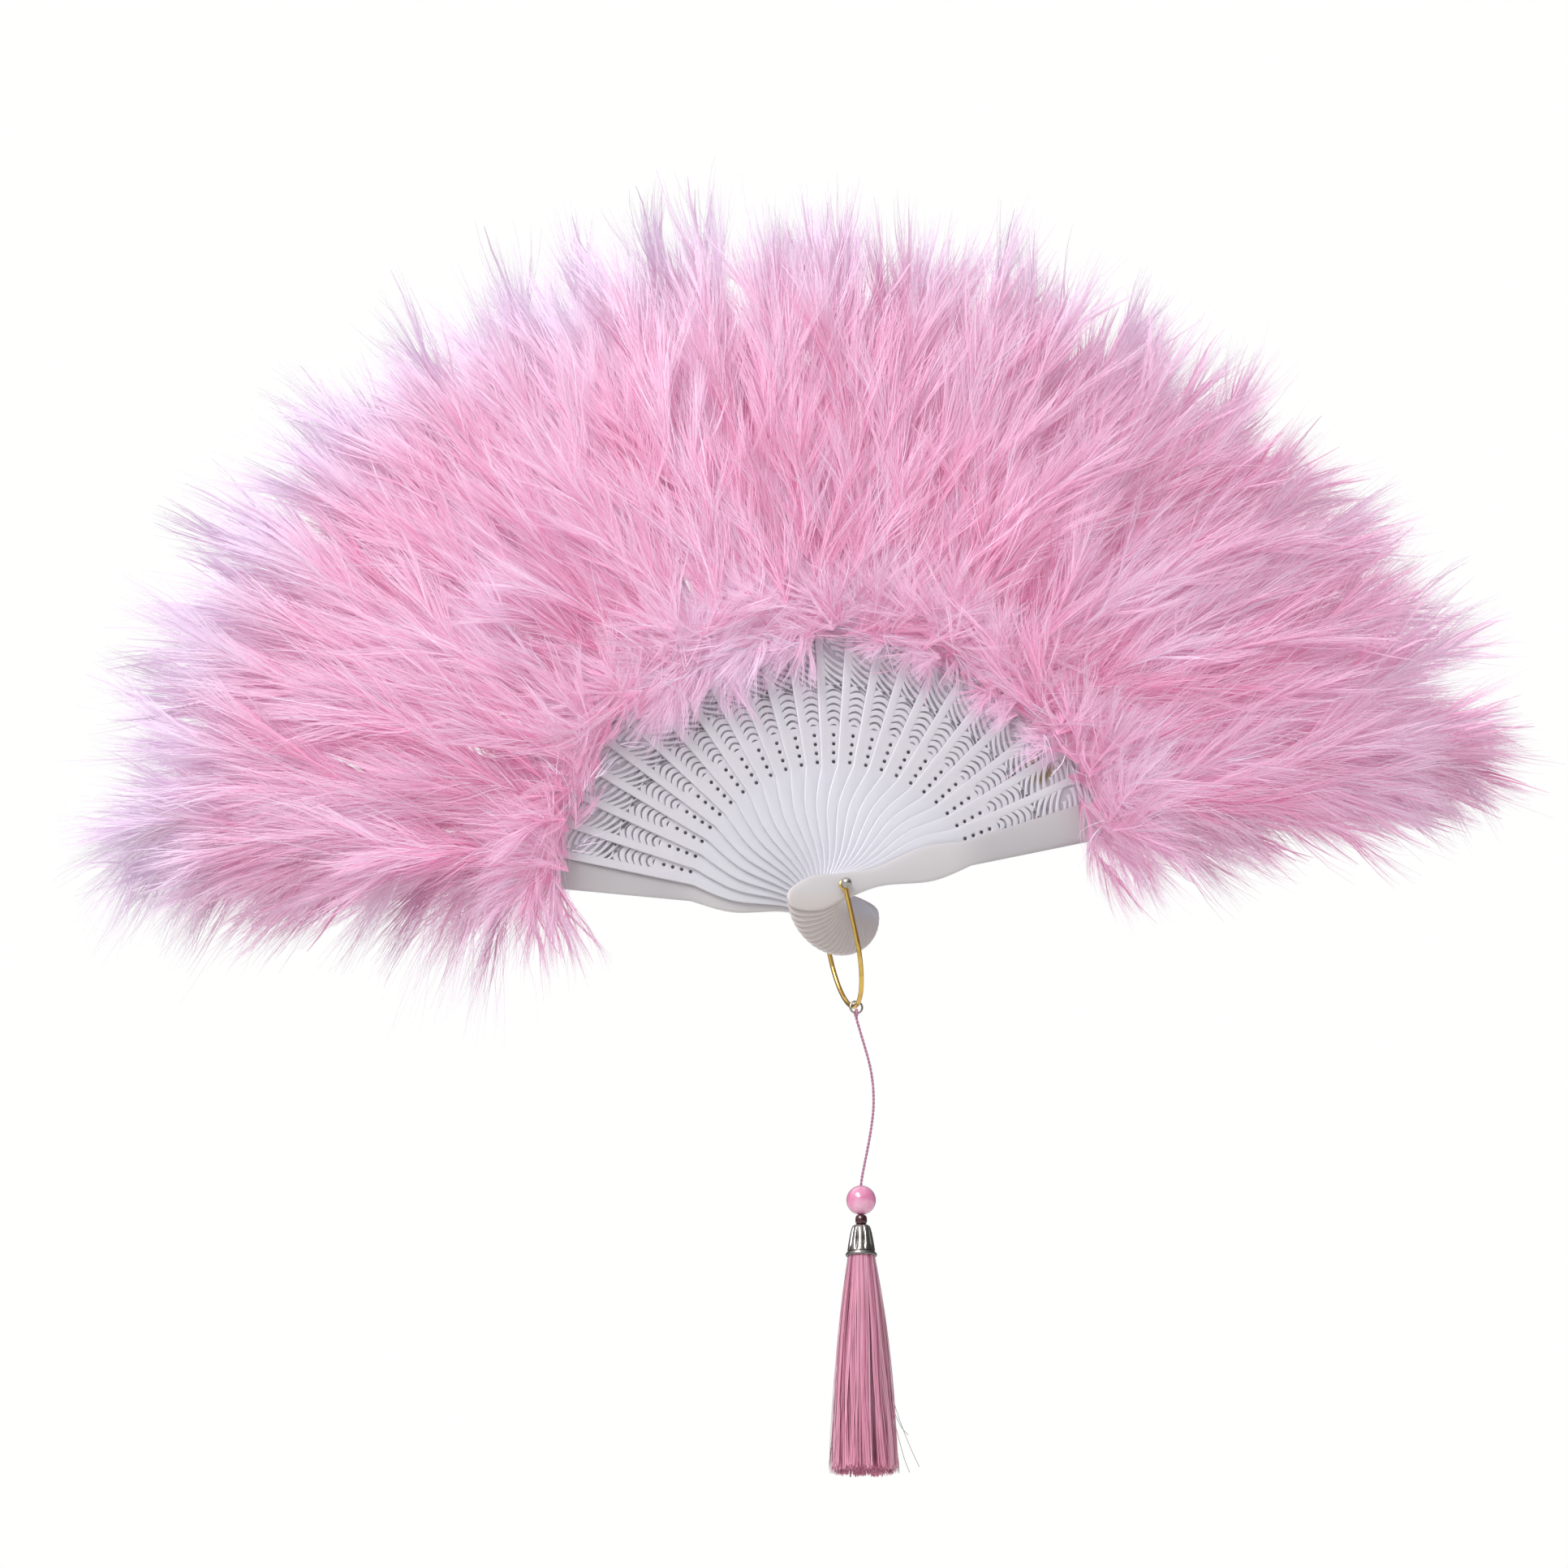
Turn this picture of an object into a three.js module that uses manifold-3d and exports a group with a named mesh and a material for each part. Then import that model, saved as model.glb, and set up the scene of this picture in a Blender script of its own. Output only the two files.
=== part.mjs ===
// A folding feather fan: plastic sticks on a ball-headed rivet, a feather tuft on every stick,
// and a tassel that hangs from a wire bail.
// Millimetres, +Z up. The origin is on the rivet's axis, half-way through the stack of sticks.
// The fan opens in the XZ plane and its front faces -Y.

import * as THREE from 'three';
import Module from 'manifold-3d';
import { mergeVertices } from 'three/addons/utils/BufferGeometryUtils.js';

const wasm = await Module();
wasm.setup();

// Spread of the fan, with angles in degrees from +X towards +Z
const INNER_STICKS = 23;
const STICK_PITCH_ANGLE = 6.55;
const FRONT_GUARD_ANGLE = 17.6;

// Clearance between pieces that touch
const FIT_GAP = 0.3;
const WELD_TOLERANCE = 1e-4;

// Sticks: thickness, and the outline as distances from the pivot and half widths there
const STICK_THICKNESS = 1.0;
const GUARD_THICKNESS = 2.0;
const HEAD_LENGTH = 20.5;
const HEAD_CORNER_LENGTH = 17.5;
const HEAD_CORNER_HALF_WIDTH = 3.8;
const HEAD_BELLY_LENGTH = 9.5;
const HEAD_BELLY_HALF_WIDTH = 6.1;
const BOSS_HALF_WIDTH = 4.6;
const NECK_RADIUS = 13;
const NECK_HALF_WIDTH = 3.4;
const SHOULDER_RADIUS = 31;
const SHOULDER_HALF_WIDTH = 6.2;
const WAIST_RADIUS = 46;
const WAIST_HALF_WIDTH = 4.4;
const BLADE_RADIUS = 93;
const BLADE_HALF_WIDTH = 6.9;
const SLIP_RADIUS = 98;
const SLIP_HALF_WIDTH = 2.2;
const SLIP_TIP_HALF_WIDTH = 1.4;
const STICK_RADIUS = 190;
const OUTLINE_STEPS = 10;

// Fretwork of the inner sticks, from the waist outwards
const DOT_COUNT = 4;
const DOT_RADIUS = 0.8;
const DOT_FIRST = 48.5;
const DOT_PITCH = 3.3;
const DOT_SIDES = 5;
const ARCH_COUNT = 3;
const ARCH_FIRST = 62;
const ARCH_PITCH = 4.2;
const ARCH_HALF_SPAN = 2.2;
const ARCH_RISE = 1.2;
const ARCH_WIDTH = 1.4;
const SLIT_COUNT = 2;
const SLIT_FIRST = 75.5;
const SLIT_PITCH = 4.6;
const SLIT_HALF_SPAN = 2.8;
const SLIT_SLANT = 2.4;
const SLIT_WIDTH = 1.6;
const LEAF_RADIUS = 87;
const LEAF_HALF_SPAN = 3.2;
const LEAF_SLANT = 2.6;
const LEAF_WIDTH = 2.2;

// Feather tufts, with shares of the depth, the side and the guards' flare from root to tip
const TUFT_ROOT_GAP = 1;
const TUFT_TIP_RADIUS = 252;
const TUFT_TIP_SWING = 4;
const TUFT_SWING_ANGLE = 137.5;
const TUFT_HALF_DEPTH = 17;
const GUARD_FLARE_ANGLE = 13;
const TUFT_STATION_SHARES = [
  { along: 0, depth: 0.3, side: 1, flare: 0.85 },
  { along: 0.14, depth: 0.7, side: 1, flare: 1 },
  { along: 0.36, depth: 1, side: 1, flare: 1 },
  { along: 0.62, depth: 0.95, side: 1, flare: 0.95 },
  { along: 0.86, depth: 0.6, side: 1, flare: 0.85 },
  { along: 1, depth: 0.16, side: 0.72, flare: 0.5 },
];
const SLOT_OVERCUT = 1;
const TUFT_SECTION_SHARES = [
  [-1, -0.4], [-0.65, -0.9], [0.65, -0.9], [1, -0.4],
  [1, 0.4], [0.65, 0.9], [-0.65, 0.9], [-1, 0.4],
];

// Linking ribbon, behind the slips, with the tufts' roots just outside it
const RIBBON_INNER_RADIUS = 98.6;
const RIBBON_WIDTH = 3.4;
const RIBBON_THICKNESS = 0.3;
const TUFT_ROOT_RADIUS = RIBBON_INNER_RADIUS + RIBBON_WIDTH + TUFT_ROOT_GAP;

// Rivet
const RIVET_RADIUS = 0.8;
const BALL_RADIUS = 1.9;
const BALL_SEAT_RADIUS = 1.5;
const BALL_SOCKET_DEPTH = 1.6;
const BORE_SIDES = 8;
const ROUND_SIDES = 12;
const BALL_STEPS = 6;

// Wire bail and jump ring
const BAIL_WIRE_RADIUS = 0.8;
const BAIL_EYE_WALL = 0.9;
const BAIL_DROP = 38.6;
const BAIL_STRAIGHT = 18;
const BAIL_TILT_ANGLE = 12.5;
const BAIL_BOWL_POINTS = 13;
const BAIL_STEPS = 26;
const RING_WIRE_RADIUS = 0.35;
const RING_SIDES = 6;
const RING_STEPS = 20;

// Tassel: the cord's points hang from the centre of its loop on the jump ring
const CORD_RADIUS = 0.5;
const CORD_SIDES = 8;
const CORD_STEPS = 34;
const LOOP_SIDES = 6;
const LOOP_STEPS = 16;
const CORD_POINTS = [
  [0.3, -2.6], [1.0, -5], [2.2, -9], [3.4, -13], [4.5, -17], [5.3, -21], [5.8, -25], [6.0, -29], [5.9, -33],
  [5.5, -37], [4.9, -41], [4.2, -45], [3.4, -49], [2.6, -53], [1.9, -56.5], [1.5, -59.5],
];
const KNOT_RADIUS = 1.4;
const KNOT_SIDES = 8;
const KNOT_STEPS = 6;
const BEAD_RADIUS = 5;
const BEAD_SIDES = 16;
const BEAD_STEPS = 8;
const SEED_BEAD_RADIUS = 2;
const SEED_BEAD_HEIGHT = 3.1;
const CAP_HEIGHT = 10.6;
const CAP_TOP_RADIUS = 2.4;
const CAP_WAIST_RADIUS = 3.9;
const CAP_MOUTH_RADIUS = 5.3;
const CAP_WALL = 0.8;
const SKIRT_LENGTH = 72.5;
const SKIRT_MIDDLE_RADIUS = 7.2;
const SKIRT_HEM_RADIUS = 11;
const SKIRT_SIDES = 20;

// Layers of the stack, from the front guard at 0 to the rear guard
const REAR_GUARD = INNER_STICKS + 1;
const LAYER_PITCH = STICK_THICKNESS + FIT_GAP;
const STACK_HALF = (INNER_STICKS * LAYER_PITCH + FIT_GAP) / 2 + GUARD_THICKNESS;

const radians = THREE.MathUtils.degToRad;
const PITCH = radians(STICK_PITCH_ANGLE);

function isGuard(layer) {
  return layer === 0 || layer === REAR_GUARD;
}

function stickThickness(layer) {
  return isGuard(layer) ? GUARD_THICKNESS : STICK_THICKNESS;
}

// Depth of a layer's middle plane
function layerDepth(layer) {
  const toGuard = (GUARD_THICKNESS - STICK_THICKNESS) / 2;
  const guardShift = layer === 0 ? -toGuard : layer === REAR_GUARD ? toGuard : 0;
  return (layer - REAR_GUARD / 2) * LAYER_PITCH + guardShift;
}

function stickAngle(layer) {
  return radians(FRONT_GUARD_ANGLE) + layer * PITCH;
}

const finish = (color, roughness, metalness = 0) =>
  new THREE.MeshStandardMaterial({ color, roughness, metalness });

const STICK_PLASTIC = finish(0xefecf1, 0.35);
const FEATHER = finish(0xebadcf, 0.9);
const TAPE = finish(0xf4f1ee, 0.9);
const STEEL = finish(0xc9c8c6, 0.25, 1);
const GILT = finish(0xb9984a, 0.3, 1);
const CORD_SILK = finish(0xc98fb0, 0.7);
const BEAD_RESIN = finish(0xe69ec0, 0.12);
const SEED_GLASS = finish(0x3c1f23, 0.2);
const SKIRT_SILK = finish(0xcc8ca4, 0.55);

// Turns a geometry's faces outwards if its signed volume says that they point in
function facedOut(geometry) {
  const merged = welded(geometry);
  const places = merged.getAttribute('position');
  const order = merged.getIndex().array;
  const [a, b, c] = [new THREE.Vector3(), new THREE.Vector3(), new THREE.Vector3()];
  let volume = 0;
  for (let i = 0; i < order.length; i += 3) {
    a.fromBufferAttribute(places, order[i]);
    b.fromBufferAttribute(places, order[i + 1]);
    c.fromBufferAttribute(places, order[i + 2]);
    volume += a.dot(b.cross(c));
  }
  if (volume < 0) {
    merged.setIndex(Array.from(order).reverse());
  }
  return merged;
}

// A geometry with only positions, its shared vertices merged and its flat faces removed
function welded(geometry) {
  const bare = geometry.clone();
  bare.deleteAttribute('normal');
  bare.deleteAttribute('uv');
  const merged = mergeVertices(bare, WELD_TOLERANCE);
  const order = merged.getIndex().array;
  const kept = [];
  for (let i = 0; i < order.length; i += 3) {
    const [a, b, c] = order.slice(i, i + 3);
    if (a !== b && b !== c && c !== a) {
      kept.push(a, b, c);
    }
  }
  merged.setIndex(kept);
  return merged;
}

function asManifold(geometry) {
  const shell = facedOut(geometry);
  const vertProperties = new Float32Array(shell.getAttribute('position').array);
  const triVerts = new Uint32Array(shell.getIndex().array);
  return new wasm.Manifold(new wasm.Mesh({ numProp: 3, vertProperties, triVerts }));
}

function asGeometry(manifold) {
  const mesh = manifold.getMesh();
  const geometry = new THREE.BufferGeometry();
  geometry.setAttribute('position', new THREE.BufferAttribute(mesh.vertProperties, 3));
  geometry.setIndex(Array.from(mesh.triVerts));
  return geometry;
}

const joined = (first, second) => asGeometry(asManifold(first).add(asManifold(second)));
const cut = (body, tool) => asGeometry(asManifold(body).subtract(asManifold(tool)));

function piece(name, geometry, material) {
  const mesh = new THREE.Mesh(facedOut(geometry), material);
  mesh.name = name;
  return mesh;
}

// Points of a regular polygon about (x, y)
function polygon(radius, sides, x = 0, y = 0) {
  return Array.from({ length: sides }, (_, i) => {
    const turn = (2 * Math.PI * i) / sides;
    return new THREE.Vector2(x + radius * Math.cos(turn), y + radius * Math.sin(turn));
  });
}

// Corner radius of a polygonal bore whose flats clear a shaft
const boreCorner = (shaft, sides) => (shaft + FIT_GAP) / Math.cos(Math.PI / sides);

// A flat plate in a stick's own axes: X along the stick, Z across it, centred in depth on Y
function plate(outline, holes, thickness) {
  const shape = new THREE.Shape(outline);
  shape.holes = holes.map((points) => new THREE.Path(points));
  const geometry = new THREE.ExtrudeGeometry(shape, { depth: thickness, bevelEnabled: false });
  geometry.translate(0, 0, -thickness / 2);
  return geometry.rotateX(Math.PI / 2);
}

// A closed skin over rings of equally many points, with flat ends
function lofted(rings) {
  const count = rings[0].length;
  const order = [];
  for (let r = 0; r + 1 < rings.length; r += 1) {
    for (let i = 0; i < count; i += 1) {
      const [a, b] = [r * count + i, r * count + ((i + 1) % count)];
      order.push(a, b, b + count, a, b + count, a + count);
    }
  }
  const last = (rings.length - 1) * count;
  for (let i = 1; i + 1 < count; i += 1) {
    order.push(0, i + 1, i, last, last + i, last + i + 1);
  }
  const geometry = new THREE.BufferGeometry().setFromPoints(rings.flat());
  geometry.setIndex(order);
  return geometry;
}

// A round bar along a curve
function bar(curve, radius, sides, steps) {
  const section = new THREE.Shape(polygon(radius, sides));
  return new THREE.ExtrudeGeometry(section, { steps, bevelEnabled: false, extrudePath: curve });
}

const vectors = (pairs) => pairs.map(([x, y]) => new THREE.Vector2(x, y));
const turned = (pairs, sides = ROUND_SIDES) => new THREE.LatheGeometry(vectors(pairs), sides);

// One long edge of a stick, from the tip of its head to the waist
function stickEdge() {
  const marks = vectors([
    [-HEAD_LENGTH, 0],
    [-HEAD_CORNER_LENGTH, HEAD_CORNER_HALF_WIDTH],
    [-HEAD_BELLY_LENGTH, HEAD_BELLY_HALF_WIDTH],
    [0, BOSS_HALF_WIDTH],
    [NECK_RADIUS, NECK_HALF_WIDTH],
    [SHOULDER_RADIUS, SHOULDER_HALF_WIDTH],
    [WAIST_RADIUS, WAIST_HALF_WIDTH],
  ]);
  return new THREE.SplineCurve(marks).getPoints(OUTLINE_STEPS);
}

function stickOutline() {
  const edge = stickEdge().concat(vectors([
    [BLADE_RADIUS, BLADE_HALF_WIDTH],
    [SLIP_RADIUS, SLIP_HALF_WIDTH],
    [STICK_RADIUS, SLIP_TIP_HALF_WIDTH],
  ]));
  const otherEdge = edge.slice(1).map((p) => new THREE.Vector2(p.x, -p.y)).reverse();
  return edge.concat(otherEdge);
}

// Width of the fretwork at a distance from the pivot, against its width at the blade's end
function fretShare(radius) {
  const along = (radius - WAIST_RADIUS) / (BLADE_RADIUS - WAIST_RADIUS);
  return THREE.MathUtils.lerp(WAIST_HALF_WIDTH, BLADE_HALF_WIDTH, along) / BLADE_HALF_WIDTH;
}

// An arched slit, open towards the pivot
function archHole(radius) {
  const span = ARCH_HALF_SPAN * fretShare(radius);
  return vectors([
    [radius, -span], [radius + ARCH_RISE, 0], [radius, span],
    [radius - ARCH_WIDTH, span], [radius + ARCH_RISE - ARCH_WIDTH, 0], [radius - ARCH_WIDTH, -span],
  ]);
}

// A slit that slants across the stick: a positive slant runs outwards on the +Z side
function slantHole(radius, halfSpan, slant, width) {
  const span = halfSpan * fretShare(radius);
  return vectors([
    [radius - slant, -span], [radius + width / 2, 0], [radius + slant, span],
    [radius + slant - width / 2, span], [radius - width / 2, 0], [radius - slant - width / 2, -span],
  ]);
}

function fretwork() {
  const dots = Array.from({ length: DOT_COUNT }, (_, i) =>
    polygon(DOT_RADIUS, DOT_SIDES, DOT_FIRST + i * DOT_PITCH));
  const arches = Array.from({ length: ARCH_COUNT }, (_, i) => archHole(ARCH_FIRST + i * ARCH_PITCH));
  const slits = Array.from({ length: SLIT_COUNT }, (_, i) =>
    slantHole(SLIT_FIRST + i * SLIT_PITCH, SLIT_HALF_SPAN, SLIT_SLANT, SLIT_WIDTH));
  return [...dots, ...arches, ...slits, slantHole(LEAF_RADIUS, LEAF_HALF_SPAN, -LEAF_SLANT, LEAF_WIDTH)];
}

function stick(layer) {
  const bore = polygon(boreCorner(RIVET_RADIUS, BORE_SIDES), BORE_SIDES);
  const holes = isGuard(layer) ? [bore] : [bore, ...fretwork()];
  return plate(stickOutline(), holes, stickThickness(layer));
}

// The space that a tuft leaves for its stick's slip
function slipSlot(layer) {
  const tip = STICK_RADIUS + FIT_GAP;
  const mouth = [TUFT_ROOT_RADIUS - SLOT_OVERCUT, SLIP_HALF_WIDTH + FIT_GAP];
  const end = [tip, SLIP_TIP_HALF_WIDTH + FIT_GAP];
  const outline = vectors([mouth, end, [end[0], -end[1]], [mouth[0], -mouth[1]]]);
  return plate(outline, [], stickThickness(layer) + 2 * FIT_GAP);
}

// How far a tuft reaches across its stick: to its neighbour, or flared past a guard on the free side
function tuftReach(layer, radius, station, across) {
  const free = (layer === 0 && across < 0) || (layer === REAR_GUARD && across > 0);
  if (free) {
    return station.flare * radius * Math.tan(radians(GUARD_FLARE_ANGLE));
  }
  return station.side * (radius * Math.tan(PITCH / 2) - FIT_GAP / 2 / Math.cos(PITCH / 2));
}

function tuft(layer) {
  const tip = TUFT_TIP_RADIUS + TUFT_TIP_SWING * Math.sin(radians(TUFT_SWING_ANGLE) * layer);
  const rings = TUFT_STATION_SHARES.map((station) => {
    const radius = THREE.MathUtils.lerp(TUFT_ROOT_RADIUS, tip, station.along);
    return TUFT_SECTION_SHARES.map(([across, deep]) => new THREE.Vector3(
      radius,
      deep * station.depth * TUFT_HALF_DEPTH,
      across * tuftReach(layer, radius, station, across),
    ));
  });
  return cut(lofted(rings), slipSlot(layer));
}

// The ribbon climbs one layer per stick, close behind every slip, and ends at the rear guard's edge
function linkingRibbon() {
  const slipAngle = Math.atan(SLIP_HALF_WIDTH / RIBBON_INNER_RADIUS);
  const climb = (LAYER_PITCH * slipAngle) / PITCH;
  const behind = STICK_THICKNESS / 2 + FIT_GAP + RIBBON_THICKNESS / 2 + climb;
  const lastLayer = REAR_GUARD - (slipAngle + FIT_GAP / RIBBON_INNER_RADIUS) / PITCH;
  const layers = Array.from({ length: REAR_GUARD }, (_, i) => i).concat(lastLayer);
  const rings = layers.map((layer) => {
    const turn = stickAngle(layer);
    const depth = (layer - REAR_GUARD / 2) * LAYER_PITCH + behind;
    return [[0, -1], [1, -1], [1, 1], [0, 1]].map(([out, face]) => {
      const radius = RIBBON_INNER_RADIUS + out * RIBBON_WIDTH;
      const y = depth + (face * RIBBON_THICKNESS) / 2;
      return new THREE.Vector3(radius * Math.cos(turn), y, radius * Math.sin(turn));
    });
  });
  return lofted(rings);
}

// Depths along the rivet, outwards from the stack
const EYE_DEPTH = STACK_HALF + FIT_GAP + BAIL_WIRE_RADIUS;
const SEAT_DEPTH = EYE_DEPTH + BAIL_WIRE_RADIUS + FIT_GAP;

// Profile of a ball head from its flat seat to its outer pole
function ballProfile() {
  const seatAngle = Math.asin(BALL_SEAT_RADIUS / BALL_RADIUS);
  const centre = SEAT_DEPTH + BALL_RADIUS * Math.cos(seatAngle);
  return Array.from({ length: BALL_STEPS + 1 }, (_, i) => {
    const turn = (Math.PI - seatAngle) * (1 - i / BALL_STEPS);
    const radius = i === BALL_STEPS ? 0 : BALL_RADIUS * Math.sin(turn);
    return [radius, centre + BALL_RADIUS * Math.cos(turn)];
  });
}

function rivetPost() {
  const frontEnd = -(SEAT_DEPTH + BALL_SOCKET_DEPTH - FIT_GAP);
  return turned([[0, frontEnd], [RIVET_RADIUS, frontEnd], [RIVET_RADIUS, SEAT_DEPTH], ...ballProfile()]);
}

// The front ball screws on to the post's end, so it has a blind socket
function rivetBall() {
  const socket = boreCorner(RIVET_RADIUS, ROUND_SIDES);
  const floor = SEAT_DEPTH + BALL_SOCKET_DEPTH;
  const profile = [[0, floor], [socket, floor], [socket, SEAT_DEPTH], ...ballProfile()];
  return turned(profile.map(([radius, depth]) => [radius, -depth]));
}

// The bail hangs from the rivet in its own axes: an eye at each end of a U of wire
function wireBail() {
  const bore = boreCorner(RIVET_RADIUS, ROUND_SIDES);
  const wireTop = bore + BAIL_EYE_WALL / 2;
  const leg = (side, drop) => new THREE.Vector3(0, side * EYE_DEPTH, -drop);
  const bowl = Array.from({ length: BAIL_BOWL_POINTS }, (_, i) => {
    const turn = Math.PI * (i / (BAIL_BOWL_POINTS - 1) - 0.5);
    const drop = BAIL_STRAIGHT + (BAIL_DROP - BAIL_STRAIGHT) * Math.cos(turn);
    return leg(Math.sin(turn), drop);
  });
  const middle = (wireTop + BAIL_STRAIGHT) / 2;
  const points = [leg(-1, wireTop), leg(-1, middle), ...bowl, leg(1, middle), leg(1, wireTop)];
  const wire = bar(new THREE.CatmullRomCurve3(points), BAIL_WIRE_RADIUS, CORD_SIDES, BAIL_STEPS);
  const [low, high] = [-BAIL_WIRE_RADIUS, BAIL_WIRE_RADIUS];
  const rim = bore + BAIL_EYE_WALL;
  const eye = turned([[bore, low], [rim, low], [rim, high], [bore, high], [bore, low]]);
  const eyeAt = (side) => eye.clone().translate(0, side * EYE_DEPTH, 0);
  return joined(joined(wire, eyeAt(-1)), eyeAt(1));
}

// The jump ring hangs on the bail's lowest point and holds the cord's loop
const LOOP_RADIUS = RING_WIRE_RADIUS + FIT_GAP + CORD_RADIUS;
const RING_HELD_HEIGHT = 2 * (BAIL_WIRE_RADIUS + FIT_GAP) + LOOP_RADIUS + CORD_RADIUS;
const RING_INNER_RADIUS = (RING_HELD_HEIGHT - RING_WIRE_RADIUS) / 2;
const RING_RADIUS = RING_INNER_RADIUS + RING_WIRE_RADIUS;
const BAIL_FOOT = new THREE.Vector3(
  BAIL_DROP * Math.sin(radians(BAIL_TILT_ANGLE)), 0, -BAIL_DROP * Math.cos(radians(BAIL_TILT_ANGLE)));
const RING_CENTRE = BAIL_FOOT.clone().add(
  new THREE.Vector3(0, 0, -(RING_INNER_RADIUS - BAIL_WIRE_RADIUS - FIT_GAP)));
const LOOP_CENTRE = RING_CENTRE.clone().add(new THREE.Vector3(0, 0, -RING_RADIUS));

function jumpRing() {
  return new THREE.TorusGeometry(RING_RADIUS, RING_WIRE_RADIUS, RING_SIDES, RING_STEPS).rotateX(Math.PI / 2);
}

// What is strung on the cord hangs in line below the cord's last point, down from STRUNG_TOP
const [HANG_X, STRUNG_TOP] = CORD_POINTS.at(-1);
const THREAD_BORE = boreCorner(CORD_RADIUS, CORD_SIDES);
const BEAD_HALF_HEIGHT = Math.sqrt(BEAD_RADIUS ** 2 - THREAD_BORE ** 2);
const BEAD_CENTRE = STRUNG_TOP - FIT_GAP - BEAD_HALF_HEIGHT;
const SEED_TOP = BEAD_CENTRE - BEAD_HALF_HEIGHT - FIT_GAP;
const CAP_TOP = SEED_TOP - SEED_BEAD_HEIGHT - FIT_GAP;
const CAP_MOUTH = CAP_TOP - CAP_HEIGHT;
const KNOT_CENTRE = CAP_TOP - CAP_WALL - FIT_GAP - KNOT_RADIUS;
const SKIRT_TOP = KNOT_CENTRE - KNOT_RADIUS - FIT_GAP;

function tasselCord() {
  const straight = [BEAD_CENTRE + BEAD_RADIUS / 2, BEAD_CENTRE, SEED_TOP, CAP_TOP, KNOT_CENTRE];
  const route = [[0, -LOOP_RADIUS], ...CORD_POINTS, ...straight.map((z) => [HANG_X, z])];
  const curve = new THREE.CatmullRomCurve3(route.map(([x, z]) => new THREE.Vector3(x, 0, z)));
  const strand = bar(curve, CORD_RADIUS, CORD_SIDES, CORD_STEPS);
  const loop = new THREE.TorusGeometry(LOOP_RADIUS, CORD_RADIUS, LOOP_SIDES, LOOP_STEPS).rotateY(Math.PI / 2);
  const knot = new THREE.SphereGeometry(KNOT_RADIUS, KNOT_SIDES, KNOT_STEPS);
  knot.translate(HANG_X, 0, KNOT_CENTRE);
  return joined(joined(strand, loop), knot);
}

// Lathe profiles of strung pieces turn about Z
const strung = (pairs, sides) => turned(pairs, sides).rotateX(Math.PI / 2);

// Profile of a bead with a bore, from its lower rim over its widest point and back down the bore
function beadProfile() {
  const rise = Math.asin(BEAD_HALF_HEIGHT / BEAD_RADIUS);
  const outer = Array.from({ length: BEAD_STEPS + 1 }, (_, i) => {
    const turn = rise * ((2 * i) / BEAD_STEPS - 1);
    return [BEAD_RADIUS * Math.cos(turn), BEAD_RADIUS * Math.sin(turn)];
  });
  return [...outer, outer[0]];
}

function seedProfile() {
  const half = SEED_BEAD_HEIGHT / 2;
  const rim = (THREAD_BORE + SEED_BEAD_RADIUS) / 2;
  return [
    [THREAD_BORE, -half], [rim, -half], [SEED_BEAD_RADIUS, -half / 2], [SEED_BEAD_RADIUS, half / 2],
    [rim, half], [THREAD_BORE, half], [THREAD_BORE, -half],
  ];
}

// A bell with a hole for the cord in its crown
function capProfile() {
  const waist = -CAP_HEIGHT / 2;
  return [
    [THREAD_BORE, 0], [CAP_TOP_RADIUS, 0], [CAP_WAIST_RADIUS, waist], [CAP_MOUTH_RADIUS, -CAP_HEIGHT],
    [CAP_MOUTH_RADIUS - CAP_WALL, -CAP_HEIGHT], [CAP_WAIST_RADIUS - CAP_WALL, waist],
    [CAP_TOP_RADIUS - CAP_WALL / 2, -CAP_WALL], [THREAD_BORE, -CAP_WALL], [THREAD_BORE, 0],
  ];
}

// The skirt's bound neck fills the cap's mouth, and its threads flare to the hem below it
function skirtProfile() {
  const waist = CAP_TOP - CAP_HEIGHT / 2;
  const slope = (CAP_MOUTH_RADIUS - CAP_WAIST_RADIUS) / (CAP_HEIGHT / 2);
  const inside = (z) => CAP_WAIST_RADIUS - CAP_WALL + slope * (waist - z) - FIT_GAP * Math.hypot(1, slope);
  const hem = CAP_MOUTH - SKIRT_LENGTH;
  const neckTop = Math.min(SKIRT_TOP, waist);
  return [
    [0, neckTop], [inside(neckTop), neckTop], [inside(CAP_MOUTH), CAP_MOUTH],
    [CAP_MOUTH_RADIUS - FIT_GAP, CAP_MOUTH - 2 * FIT_GAP],
    [SKIRT_MIDDLE_RADIUS, CAP_MOUTH - SKIRT_LENGTH / 2], [SKIRT_HEM_RADIUS, hem], [0, hem],
  ];
}

function strungPiece(name, profile, z, material, sides) {
  const mesh = piece(name, strung(profile, sides), material);
  mesh.position.set(HANG_X, 0, z);
  return mesh;
}

function tassel() {
  const group = new THREE.Group();
  group.position.copy(LOOP_CENTRE);
  group.add(
    piece('tassel_cord', tasselCord(), CORD_SILK),
    strungPiece('round_bead', beadProfile(), BEAD_CENTRE, BEAD_RESIN, BEAD_SIDES),
    strungPiece('seed_bead', seedProfile(), SEED_TOP - SEED_BEAD_HEIGHT / 2, SEED_GLASS),
    strungPiece('tassel_cap', capProfile(), CAP_TOP, STEEL, SKIRT_SIDES),
    strungPiece('tassel_skirt', skirtProfile(), 0, SKIRT_SILK, SKIRT_SIDES),
  );
  return group;
}

function stickName(layer) {
  if (layer === 0) {
    return 'front_guard';
  }
  return layer === REAR_GUARD ? 'rear_guard' : `stick_${String(layer).padStart(2, '0')}`;
}

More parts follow.
